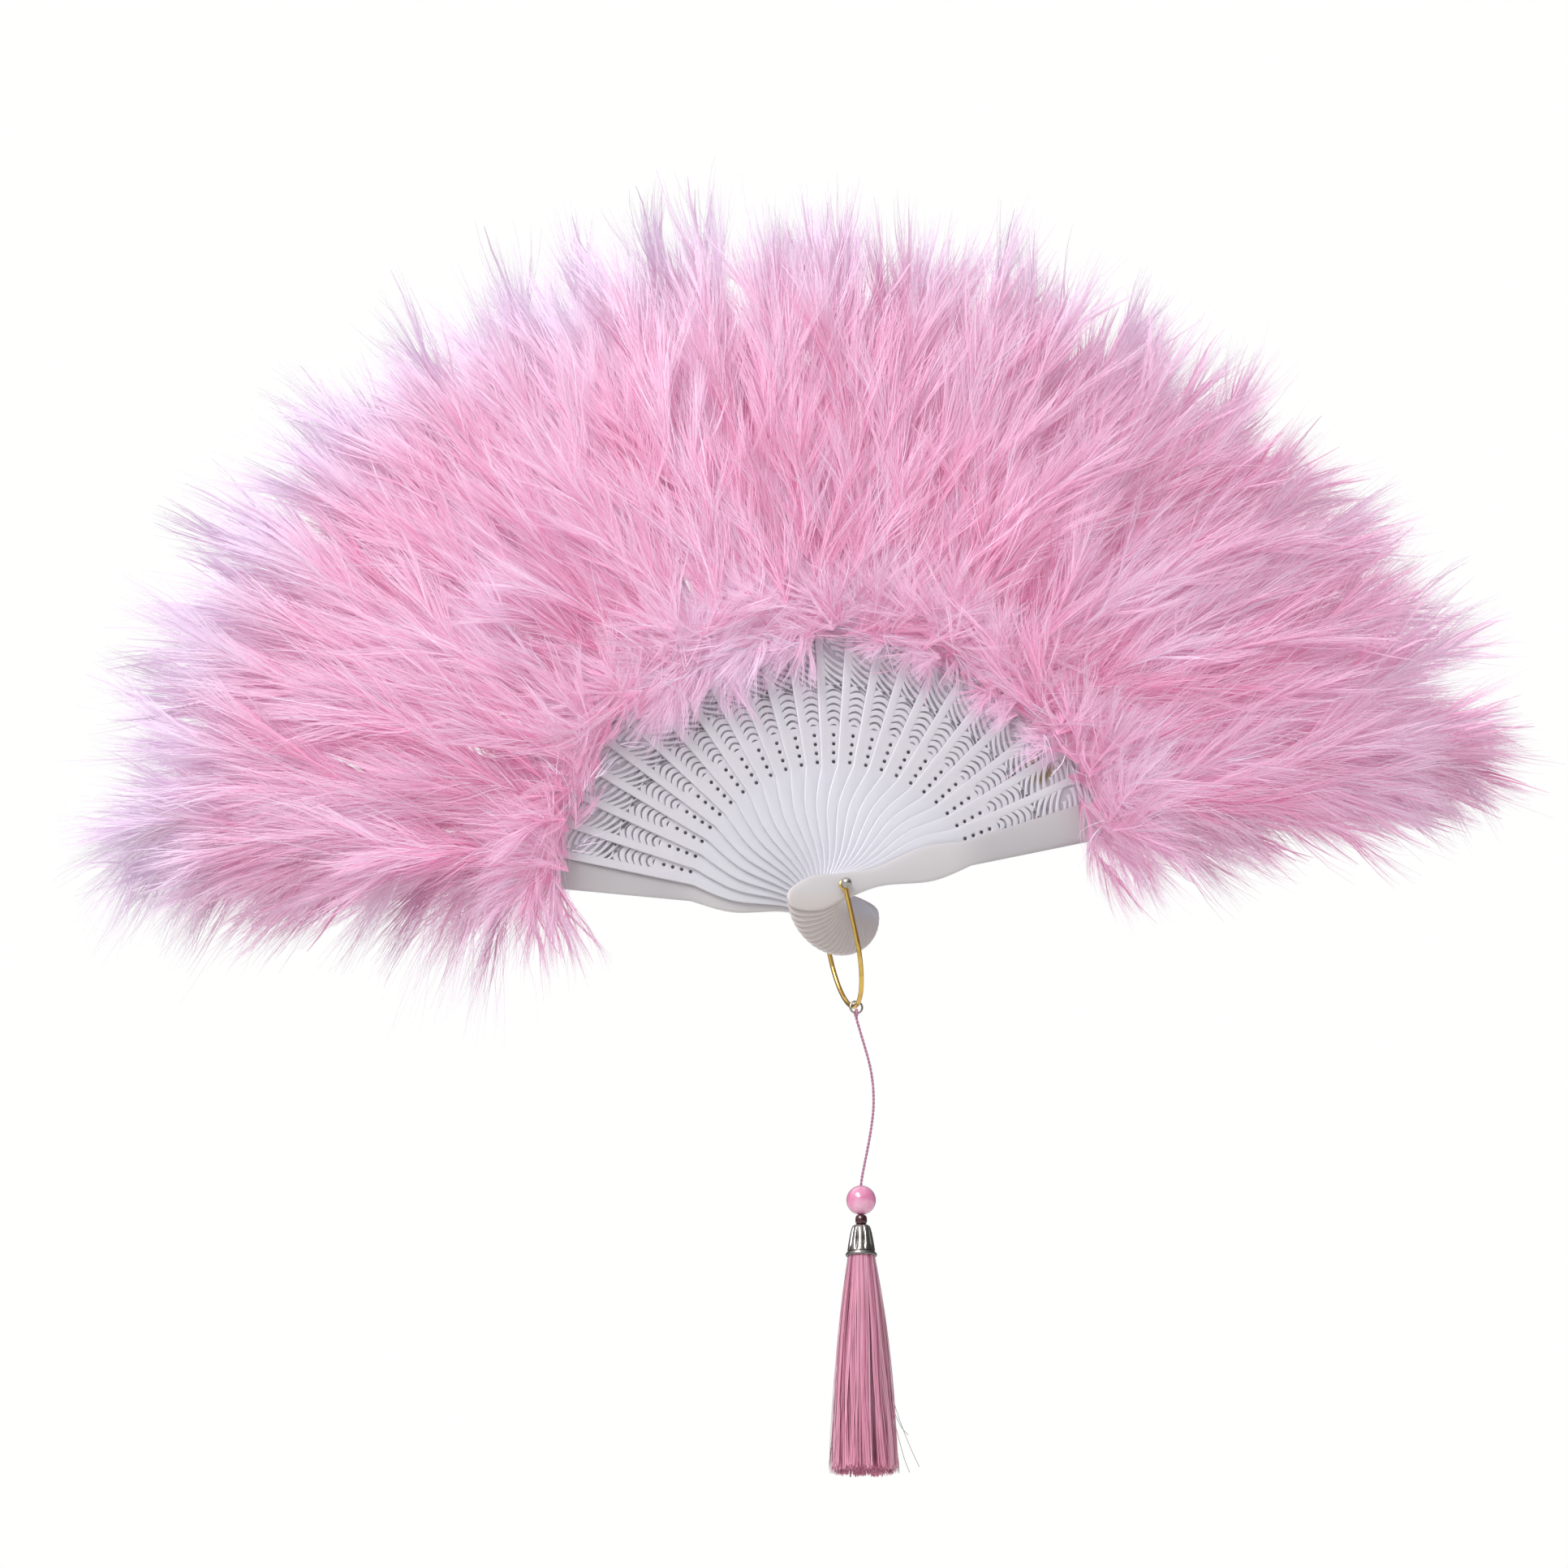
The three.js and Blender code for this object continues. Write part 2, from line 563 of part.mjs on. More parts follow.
// A stick and its feathers, turned to their place in the open fan
function featheredStick(layer) {
  const group = new THREE.Group();
  group.position.y = layerDepth(layer);
  group.rotation.y = -stickAngle(layer);
  const name = stickName(layer);
  group.add(piece(name, stick(layer), STICK_PLASTIC), piece(`${name}_feathers`, tuft(layer), FEATHER));
  return group;
}

function hangings() {
  const bail = piece('wire_bail', wireBail(), GILT);
  bail.rotation.y = -radians(BAIL_TILT_ANGLE);
  const ring = piece('jump_ring', jumpRing(), STEEL);
  ring.position.copy(RING_CENTRE);
  return [bail, ring, tassel()];
}

const fan = new THREE.Group();
for (let layer = 0; layer <= REAR_GUARD; layer += 1) {
  fan.add(featheredStick(layer));
}
fan.add(
  piece('linking_ribbon', linkingRibbon(), TAPE),
  piece('rivet_post', rivetPost(), STEEL),
  piece('rivet_ball', rivetBall(), STEEL),
  ...hangings(),
);

export default fan;
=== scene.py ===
"""Dresses a folding feather fan: pierced plastic sticks, soft plumes, a wire bail and a silk tassel.

Lengths are metres unless a name ends in _mm, and angles are degrees where a name ends in _deg.
The origin is on the rivet's axis, half-way through the stack of sticks. The fan opens in the
XZ plane and its front faces -Y. A stick's own axes are X along it, Y through it and Z across it.
"""

from __future__ import annotations

import logging
import math
from dataclasses import dataclass, field, fields, replace
from enum import Enum
from typing import Callable, Iterable, Sequence

import bmesh
import bpy
from mathutils import Matrix, Vector


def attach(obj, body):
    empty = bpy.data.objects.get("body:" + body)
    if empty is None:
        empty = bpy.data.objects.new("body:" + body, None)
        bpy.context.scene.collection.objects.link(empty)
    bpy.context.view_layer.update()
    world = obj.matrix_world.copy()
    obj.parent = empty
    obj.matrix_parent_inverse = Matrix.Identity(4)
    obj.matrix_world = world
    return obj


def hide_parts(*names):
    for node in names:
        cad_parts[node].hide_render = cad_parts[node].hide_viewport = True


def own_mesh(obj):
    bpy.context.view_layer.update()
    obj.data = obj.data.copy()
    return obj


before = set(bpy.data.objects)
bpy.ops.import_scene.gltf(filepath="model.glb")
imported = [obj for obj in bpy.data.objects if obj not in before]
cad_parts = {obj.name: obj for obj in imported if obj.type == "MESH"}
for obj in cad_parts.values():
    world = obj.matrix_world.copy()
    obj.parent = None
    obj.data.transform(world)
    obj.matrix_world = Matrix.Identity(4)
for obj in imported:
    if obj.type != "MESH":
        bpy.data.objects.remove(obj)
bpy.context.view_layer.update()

LOG = logging.getLogger("feather_fan")
MM = 0.001
BAKE_MAP = "OFBake"
WEAVE_MAP = "weave"
MERGE_DISTANCE = 1e-7
CREASE = math.radians(40)
ON_AXIS = 1e-6
CORNERS = ((-1, -1), (1, -1), (1, 1), (-1, 1))

Pair = tuple[float, float]
Triple = tuple[float, float, float]
Colour = tuple[float, float, float, float]


def srgb(red: int, green: int, blue: int) -> Colour:
    """Turns a colour as a screen shows it into linear light.

    Args:
        red: Red, from 0 to 255.
        green: Green, from 0 to 255.
        blue: Blue, from 0 to 255.

    Returns:
        The linear colour with full opacity.
    """
    def linear(value: int) -> float:
        """One channel in linear light."""
        share = value / 255
        return share / 12.92 if share <= 0.04045 else ((share + 0.055) / 1.055) ** 2.4

    return linear(red), linear(green), linear(blue), 1.0


def circle(steps: int) -> list[float]:
    """Angles in even steps once round, in radians."""
    return [math.tau * i / steps for i in range(steps)]


class Wire:
    """One output socket of a node, whose arithmetic adds Math nodes to its tree."""

    def __init__(self, tree: Tree, socket: bpy.types.NodeSocket | None) -> None:
        """Keeps the tree and the socket, which a node that ends its tree doesn't have."""
        self.tree = tree
        self.socket = socket

    @property
    def is_vector(self) -> bool:
        """Whether the socket carries a vector or a colour."""
        return self.socket.type in {"VECTOR", "RGBA"}

    def out(self, key: str | int) -> Wire:
        """Another output of the same node."""
        return Wire(self.tree, self.socket.node.outputs[key])

    def __add__(self, other: Operand) -> Wire:
        """The sum with another operand."""
        return self.tree.math("ADD", self, other)

    def __radd__(self, other: Operand) -> Wire:
        """The sum with an operand on the left."""
        return self.tree.math("ADD", other, self)

    def __sub__(self, other: Operand) -> Wire:
        """The difference from another operand."""
        return self.tree.math("SUBTRACT", self, other)

    def __rsub__(self, other: Operand) -> Wire:
        """The difference of an operand on the left."""
        return self.tree.math("SUBTRACT", other, self)

    def __mul__(self, other: Operand) -> Wire:
        """The product with another operand."""
        return self.tree.math("MULTIPLY", self, other)

    def __rmul__(self, other: Operand) -> Wire:
        """The product with an operand on the left."""
        return self.tree.math("MULTIPLY", other, self)

    def __truediv__(self, other: Operand) -> Wire:
        """The quotient by another operand."""
        return self.tree.math("DIVIDE", self, other)

    def __pow__(self, power: float) -> Wire:
        """The value raised to a power."""
        return self.tree.math("POWER", self, power)

    def __mod__(self, step: float) -> Wire:
        """What is left of the value after whole steps."""
        return self.tree.math("MODULO", self, step)

    def __neg__(self) -> Wire:
        """The value with its sign turned."""
        return self.tree.math("MULTIPLY", self, -1.0)

    def __gt__(self, limit: Operand) -> Wire:
        """One where the value is above a limit, and zero elsewhere."""
        return self.tree.math("GREATER_THAN", self, limit)

    def sin(self) -> Wire:
        """The sine of an angle in radians."""
        return self.tree.math("SINE", self)

    def cos(self) -> Wire:
        """The cosine of an angle in radians."""
        return self.tree.math("COSINE", self)

    def floor(self) -> Wire:
        """The whole number below the value."""
        return self.tree.math("FLOOR", self)

    def unit(self) -> Wire:
        """The vector at a length of one."""
        return self.tree.math("NORMALIZE", self)

    def cross(self, other: Wire) -> Wire:
        """The cross product with another vector."""
        return self.tree.math("CROSS_PRODUCT", self, other)

    def dot(self, other: Operand) -> Wire:
        """The dot product with another vector."""
        return self.tree.math("DOT_PRODUCT", self, other).out("Value")

    def length(self) -> Wire:
        """The vector's length."""
        return self.tree.math("LENGTH", self).out("Value")

    def axis(self, index: int) -> Wire:
        """One component of a vector, by its index."""
        return self.tree.node("ShaderNodeSeparateXYZ", sockets={0: self}, output=index)

    def in_plane(self) -> Wire:
        """A place without its depth, in the plane that the fan opens in."""
        return self.tree.vector(self.axis(0), 0.0, self.axis(2))


Operand = Wire | float | Sequence[float]


def is_vector(value: Operand) -> bool:
    """Whether an operand is a vector or a colour."""
    return value.is_vector if isinstance(value, Wire) else not isinstance(value, (int, float))


class Tree:
    """A node tree under construction."""

    def __init__(self, tree: bpy.types.NodeTree) -> None:
        """Keeps the tree and empties it."""
        self.tree = tree
        self.tree.nodes.clear()

    def feed(self, socket: bpy.types.NodeSocket, value: Operand) -> None:
        """Links a wire to an input socket, or sets the socket's own value.

        Args:
            socket: The input socket.
            value: The wire or the value.
        """
        if isinstance(value, Wire):
            self.tree.links.new(value.socket, socket)
        else:
            socket.default_value = value

    def node(
        self,
        kind: str,
        settings: dict[str, object] | None = None,
        sockets: dict[str | int, Operand] | None = None,
        output: str | int = 0,
    ) -> Wire:
        """Adds a node.

        Args:
            kind: The node's type.
            settings: Its settings, with a ramp's stops under "stops" and captured fields under "items".
            sockets: Values or wires of its input sockets.
            output: The output that the result stands for.

        Returns:
            The wire of that output.
        """
        made = self.tree.nodes.new(kind)
        for name, value in (settings or {}).items():
            if name == "stops":
                self._set_stops(made.color_ramp, value)
            elif name == "items":
                for item, item_type in value.items():
                    made.capture_items.new(item_type, item)
            else:
                setattr(made, name, value)
        for key, value in (sockets or {}).items():
            self.feed(made.inputs[key], value)
        return Wire(self, made.outputs[output] if len(made.outputs) else None)

    @staticmethod
    def _set_stops(ramp: bpy.types.ColorRamp, stops: Sequence[tuple[float, Colour]]) -> None:
        """Gives a colour ramp its stops.

        Args:
            ramp: The ramp.
            stops: Places from 0 to 1 with their colours.
        """
        while len(ramp.elements) < len(stops):
            ramp.elements.new(1.0)
        for element, (place, colour) in zip(ramp.elements, stops):
            element.position = place
            element.color = colour

    def math(self, operation: str, *operands: Operand) -> Wire:
        """Adds a Math node, or a Vector Math node where an operand is a vector.

        Args:
            operation: The node's operation.
            *operands: Its operands, in order.

        Returns:
            The result.
        """
        vectors = [is_vector(value) for value in operands]
        if not any(vectors):
            return self.node("ShaderNodeMath", {"operation": operation}, dict(enumerate(operands)))
        if operation == "MULTIPLY" and not all(vectors):
            factor, vector = sorted(operands, key=is_vector)
            return self.node("ShaderNodeVectorMath", {"operation": "SCALE"}, {0: vector, "Scale": factor})
        return self.node("ShaderNodeVectorMath", {"operation": operation}, dict(enumerate(operands)))

    def vector(self, x: Operand, y: Operand, z: Operand) -> Wire:
        """Joins three values into a vector."""
        return self.node("ShaderNodeCombineXYZ", sockets={0: x, 1: y, 2: z})

    def ramped(self, value: Wire, low: Operand, high: Operand) -> Wire:
        """A smooth step from 0 at low to 1 at high."""
        sockets = {"Value": value, "From Min": low, "From Max": high}
        return self.node("ShaderNodeMapRange", {"interpolation_type": "SMOOTHSTEP"}, sockets)

    def noise(self, scale: float, detail: float = 3.0, place: Wire | None = None) -> Wire:
        """A noise field on a place, by default the object's own coordinates.

        Args:
            scale: How many waves lie in a metre.
            detail: How many finer layers it has.
            place: The place.

        Returns:
            The field.
        """
        if place is None:
            place = self.node("ShaderNodeTexCoord", output="Object")
        return self.node("ShaderNodeTexNoise", sockets={"Vector": place, "Scale": scale, "Detail": detail})

    def mixed(self, share: Operand, first: Operand, second: Operand) -> Wire:
        """A colour between two others."""
        return self.node("ShaderNodeMix", {"data_type": "RGBA"}, {0: share, 6: first, 7: second}, output=2)

    def bumped(self, height: Wire, strength: float, depth: float) -> Wire:
        """A normal bent by a height field."""
        return self.node(
            "ShaderNodeBump", sockets={"Strength": strength, "Distance": depth, "Height": height})

    def is_ray(self, *kinds: str) -> Wire:
        """One on rays of the named kinds, and zero on all others.

        Args:
            *kinds: Outputs of the Light Path node.

        Returns:
            The flag.
        """
        path = self.node("ShaderNodeLightPath", output=kinds[0])
        found = path
        for kind in kinds[1:]:
            found = found + path.out(kind)
        return found > 0.5


@dataclass(frozen=True)
class Finish:
    """A surface finish, which knows how its shader is wired."""

    name: str

    def shader(self, tree: Tree) -> Wire:
        """Adds the finish's shader to a tree."""
        raise NotImplementedError

    def material(self) -> bpy.types.Material:
        """The finish as a material, made when it is first asked for.

        Returns:
            The material.
        """
        found = bpy.data.materials.get(self.name)
        if found is None:
            found = bpy.data.materials.new(self.name)
            found.use_nodes = True
            tree = Tree(found.node_tree)
            tree.node("ShaderNodeOutputMaterial", sockets={"Surface": self.shader(tree)})
        return found


@dataclass(frozen=True)
class MouldedPlastic(Finish):
    """White moulded plastic with a faint cloudiness and a satin skin, with painted light at the neck, where
    the sticks fan out, and painted shade on the head.
    """

    pale: Colour = srgb(219, 216, 224)
    cloudy: Colour = srgb(209, 205, 214)
    # neck is painted light on the sticks near the rivet; head is painted shade on the heads below it.
    neck: Colour = srgb(216, 215, 223)
    head: Colour = srgb(208, 199, 198)
    shaded_head_edge: Pair = (-8 * MM, 0.0)
    lit_neck_end: Pair = (38 * MM, 56 * MM)
    cloud_scale: float = 38.0
    grain_scale: float = 1400.0
    grain_depth: float = 0.00004
    roughness: float = 0.26
    cloud_roughness: float = 0.16

    def shader(self, tree: Tree) -> Wire:
        """Adds the plastic's shader.

        Args:
            tree: The material's tree.

        Returns:
            The shader.
        """
        cloud = tree.noise(self.cloud_scale, detail=2.0)
        grain = tree.noise(self.grain_scale, detail=2.0)
        place = tree.node("ShaderNodeTexCoord", output="Object")
        body = tree.mixed(cloud, self.pale, self.cloudy)
        # Painted light: the sticks are lighter near the rivet, where they fan out.
        outer = tree.mixed(tree.ramped(place.in_plane().length(), *self.lit_neck_end), self.neck, body)
        return tree.node("ShaderNodeBsdfPrincipled", sockets={
            # Painted shade: the heads below the rivet are darker and warmer.
            "Base Color": tree.mixed(tree.ramped(place.axis(2), *self.shaded_head_edge), self.head, outer),
            "Roughness": self.roughness + self.cloud_roughness * cloud,
            "IOR": 1.49,
            "Subsurface Weight": 0.12,
            "Subsurface Radius": (1.0, 0.9, 0.9),
            "Subsurface Scale": 0.0012,
            "Normal": tree.bumped(grain, strength=0.12, depth=self.grain_depth),
        })


@dataclass(frozen=True)
class PaintedShadeGround(Finish):
    """Painted shade on the thin ground that fills the fretwork's openings: dark near the pivot, paler in the
    leaves, with a stain of old glue.
    """

    # light, dark and leaf are painted shade for what shows through the open fretwork.
    light: Colour = srgb(164, 156, 168)
    dark: Colour = srgb(112, 104, 116)
    leaf: Colour = srgb(184, 177, 189)
    leaf_start: Pair = (76 * MM, 87 * MM)
    glue: Colour = srgb(128, 106, 74)
    glue_place: Triple = (70.5 * MM, 0.0, 46 * MM)
    glue_size: Pair = (3 * MM, 6.5 * MM)
    cloud_scale: float = 330.0
    cloud_edge: Pair = (0.35, 0.68)

    def shader(self, tree: Tree) -> Wire:
        """Adds the ground's shader.

        Args:
            tree: The material's tree.

        Returns:
            The shader.
        """
        cloud = tree.ramped(tree.noise(self.cloud_scale), *self.cloud_edge)
        place = tree.node("ShaderNodeTexCoord", output="Object").in_plane()
        # Painted shade: the slits' ground is mottled light and dark, and paler out in the leaves.
        slit_shade = tree.mixed(cloud, self.light, self.dark)
        ground = tree.mixed(tree.ramped(place.length(), *self.leaf_start), slit_shade, self.leaf)
        glued = 1.0 - tree.ramped((place - self.glue_place).length(), *self.glue_size)
        return tree.node("ShaderNodeBsdfPrincipled", sockets={
            "Base Color": tree.mixed(glued, ground, self.glue),
            "Roughness": 0.6,
        })


@dataclass(frozen=True)
class Down(Finish):
    """Dyed down with a faint painted glow: its bake map holds the paleness along U, partly painted light, and
    the strand's own lightness along V.
    """

    stops: tuple[tuple[float, Colour], ...] = (
        (0.0, srgb(232, 146, 188)),
        (0.3, srgb(241, 184, 216)),
        (0.6, srgb(244, 208, 233)),
        (1.0, srgb(243, 224, 246)),
    )
    darkest: float = 0.855
    light_range: float = 0.17
    painted_glow: float = 0.16

    def shader(self, tree: Tree) -> Wire:
        """Adds the down's shader.

        Args:
            tree: The material's tree.

        Returns:
            The shader.
        """
        place = tree.node("ShaderNodeUVMap", {"uv_map": BAKE_MAP})
        dye = tree.node("ShaderNodeValToRGB", {"stops": self.stops}, {"Fac": place.axis(0)})
        colour = dye * (self.darkest + self.light_range * place.axis(1))
        return tree.node("ShaderNodeBsdfPrincipled", sockets={
            "Base Color": colour,
            # Painted glow: a little light in the down's own colour, for light that passes through it.
            "Emission Color": colour,
            "Emission Strength": self.painted_glow,
            "Roughness": 0.62,
            "Specular IOR Level": 0.22,
            "Sheen Weight": 0.12,
            "Sheen Roughness": 0.4,
        })


@dataclass(frozen=True)
class WovenTape(Finish):
    """White cotton tape with a fine plain weave."""

    warp: Colour = srgb(244, 240, 238)
    weft: Colour = srgb(226, 218, 222)
    thread: float = 0.00045
    thread_depth: float = 0.0001

    def shader(self, tree: Tree) -> Wire:
        """Adds the tape's shader.

        Args:
            tree: The material's tree.

        Returns:
            The shader.
        """
        place = tree.node("ShaderNodeUVMap", {"uv_map": WEAVE_MAP})
        rate = math.pi / self.thread
        weave = (place.axis(0) * rate).sin() * (place.axis(1) * rate).sin()
        return tree.node("ShaderNodeBsdfPrincipled", sockets={
            "Base Color": tree.mixed(0.5 + 0.5 * weave, self.weft, self.warp),
            "Roughness": 0.85,
            "Normal": tree.bumped(weave, strength=0.5, depth=self.thread_depth),
        })


@dataclass(frozen=True)
class WornMetal(Finish):
    """Bright metal with tarnish in clouds and fine scratches."""

    bright: Colour = srgb(182, 179, 175)
    tarnish: Colour = srgb(96, 90, 84)
    wear: float = 0.45
    roughness: float = 0.16
    tarnish_roughness: float = 0.18
    cloud_scale: float = 210.0
    cloud_edge: Pair = (0.45, 0.75)
    scratch_scale: float = 2600.0
    scratch_depth: float = 0.00005

    def shader(self, tree: Tree) -> Wire:
        """Adds the metal's shader.

        Args:
            tree: The material's tree.

        Returns:
            The shader.
        """
        cloud = tree.ramped(tree.noise(self.cloud_scale), *self.cloud_edge)
        scratch = tree.noise(self.scratch_scale, detail=2.0)
        return tree.node("ShaderNodeBsdfPrincipled", sockets={
            "Base Color": tree.mixed(self.wear * cloud, self.bright, self.tarnish),
            "Metallic": 1.0,
            "Roughness": self.roughness + self.tarnish_roughness * cloud,
            "Normal": tree.bumped(scratch, strength=0.06, depth=self.scratch_depth),
        })


@dataclass(frozen=True)
class SpunSilk(Finish):
    """Twisted silk cord, darker in its clouds of dye."""

    light: Colour = srgb(202, 144, 174)
    deep: Colour = srgb(158, 94, 128)
    cloud_scale: float = 900.0
    fibre_scale: float = 5200.0
    fibre_depth: float = 0.00008
    roughness: float = 0.5
    fibre_roughness: float = 0.2

    def shader(self, tree: Tree) -> Wire:
        """Adds the cord's shader.

        Args:
            tree: The material's tree.

        Returns:
            The shader.
        """
        cloud = tree.noise(self.cloud_scale)
        fibre = tree.noise(self.fibre_scale, detail=2.0)
        return tree.node("ShaderNodeBsdfPrincipled", sockets={
            "Base Color": tree.mixed(cloud, self.light, self.deep),
            "Roughness": self.roughness + self.fibre_roughness * fibre,
            "Sheen Weight": 0.3,
            "Normal": tree.bumped(fibre, strength=0.4, depth=self.fibre_depth),
        })


@dataclass(frozen=True)
class CloudyResin(Finish):
    """Pink resin with a milky cloud in it."""

    clear: Colour = srgb(226, 136, 178)
    milky: Colour = srgb(238, 180, 206)
    cloud_scale: float = 190.0
    cloud_edge: Pair = (0.4, 0.75)
    roughness: float = 0.05
    cloud_roughness: float = 0.05

    def shader(self, tree: Tree) -> Wire:
        """Adds the resin's shader.

        Args:
            tree: The material's tree.

        Returns:
            The shader.
        """
        cloud = tree.ramped(tree.noise(self.cloud_scale, detail=4.0), *self.cloud_edge)
        return tree.node("ShaderNodeBsdfPrincipled", sockets={
            "Base Color": tree.mixed(cloud, self.clear, self.milky),
            "Roughness": self.roughness + self.cloud_roughness * cloud,
            "IOR": 1.54,
            "Subsurface Weight": 0.2,
            "Subsurface Radius": (1.0, 0.5, 0.7),
            "Subsurface Scale": 0.003,
            "Coat Weight": 1.0,
            "Coat Roughness": 0.03,
        })


@dataclass(frozen=True)
class DarkGlass(Finish):
    """Dark red glass of a seed bead."""

    deep: Colour = srgb(40, 10, 16)
    edge: Colour = srgb(84, 22, 34)
    streak_scale: float = 800.0
    roughness: float = 0.08
    streak_roughness: float = 0.08

    def shader(self, tree: Tree) -> Wire:
        """Adds the glass's shader.

        Args:
            tree: The material's tree.

        Returns:
            The shader.
        """
        streak = tree.noise(self.streak_scale, detail=2.0)
        return tree.node("ShaderNodeBsdfPrincipled", sockets={
            "Base Color": tree.mixed(streak, self.deep, self.edge),
            "Roughness": self.roughness + self.streak_roughness * streak,
            "Coat Weight": 0.6,
        })


@dataclass(frozen=True)
class SkirtSilk(Finish):
    """Silk threads: the bake map holds the way down a thread along U and its own shade along V."""

    stops: tuple[tuple[float, Colour], ...] = (
        (0.0, srgb(132, 52, 84)),
        (0.25, srgb(204, 120, 152)),
        (0.6, srgb(231, 159, 187)),
        (1.0, srgb(248, 203, 220)),
    )
    top_shade: float = 0.85
    top_edge: Pair = (0.0, 0.25)

    def shader(self, tree: Tree) -> Wire:
        """Adds the threads' shader.

        Args:
            tree: The material's tree.

        Returns:
            The shader.
        """
        place = tree.node("ShaderNodeUVMap", {"uv_map": BAKE_MAP})
        dye = tree.node("ShaderNodeValToRGB", {"stops": self.stops}, {"Fac": place.axis(1)})
        fall = self.top_shade + (1.0 - self.top_shade) * tree.ramped(place.axis(0), *self.top_edge)
        return tree.node("ShaderNodeBsdfPrincipled", sockets={
            "Base Color": dye * fall,
            "Roughness": 0.42,
            "Anisotropic": 0.4,
            "Sheen Weight": 0.2,
        })


@dataclass(frozen=True)
class PaleFloor(Finish):
    """A plain matt floor, lifted towards white where it is seen."""

    colour: Colour = srgb(240, 240, 238)
    lifted: float = 0.75

    def shader(self, tree: Tree) -> Wire:
        """Adds the floor's shader, which keeps the fan's shadow.

        Args:
            tree: The material's tree.

        Returns:
            The shader.
        """
        matt = tree.node("ShaderNodeBsdfPrincipled", sockets={"Base Color": self.colour, "Roughness": 0.9})
        white = tree.node("ShaderNodeEmission", sockets={"Color": self.colour, "Strength": 1.0})
        seen = tree.is_ray("Is Camera Ray", "Is Glossy Ray", "Is Transmission Ray")
        return tree.node("ShaderNodeMixShader", sockets={0: seen * self.lifted, 1: matt, 2: white})


PLASTIC = MouldedPlastic("white_plastic")
# The guards' plastic is a greyer copy of the sticks' plastic: painted shade on faces turned down from the
# light.
SHADED_GUARD_PLASTIC = MouldedPlastic("shaded_guard_plastic", srgb(194, 190, 193), srgb(184, 179, 183),
                               srgb(204, 200, 203), srgb(204, 196, 194))
# Painted shade fills the fretwork's openings, and near-black painted shadow fills the round dots.
SHADE_GROUND = PaintedShadeGround("fretwork_painted_shade")
DOT_SHADOW = PaintedShadeGround("dot_painted_shadow", srgb(84, 78, 86), srgb(48, 43, 50))
DOWN = Down("pink_down")
TAPE = WovenTape("cotton_tape")
STEEL = WornMetal("bright_steel_finish")
CAP_STEEL = WornMetal("cap_steel_finish", srgb(146, 142, 139), srgb(56, 52, 50), 0.62, 0.2)
GILT = WornMetal("gilt_wire_finish", srgb(234, 194, 106), srgb(128, 90, 40), 0.55, 0.18)
QUILL = SpunSilk("white_quill", srgb(250, 240, 246), srgb(232, 210, 222))
CORD_SILK = SpunSilk("cord_silk_finish")
RESIN = CloudyResin("pink_resin")
SEED_GLASS = DarkGlass("seed_glass_finish")
SKIRT_SILK = SkirtSilk("skirt_silk_finish")
DARK_SILK = SpunSilk("dark_silk_finish", srgb(112, 84, 98), srgb(70, 50, 62))
PALE_FLOOR = PaleFloor("pale_floor")


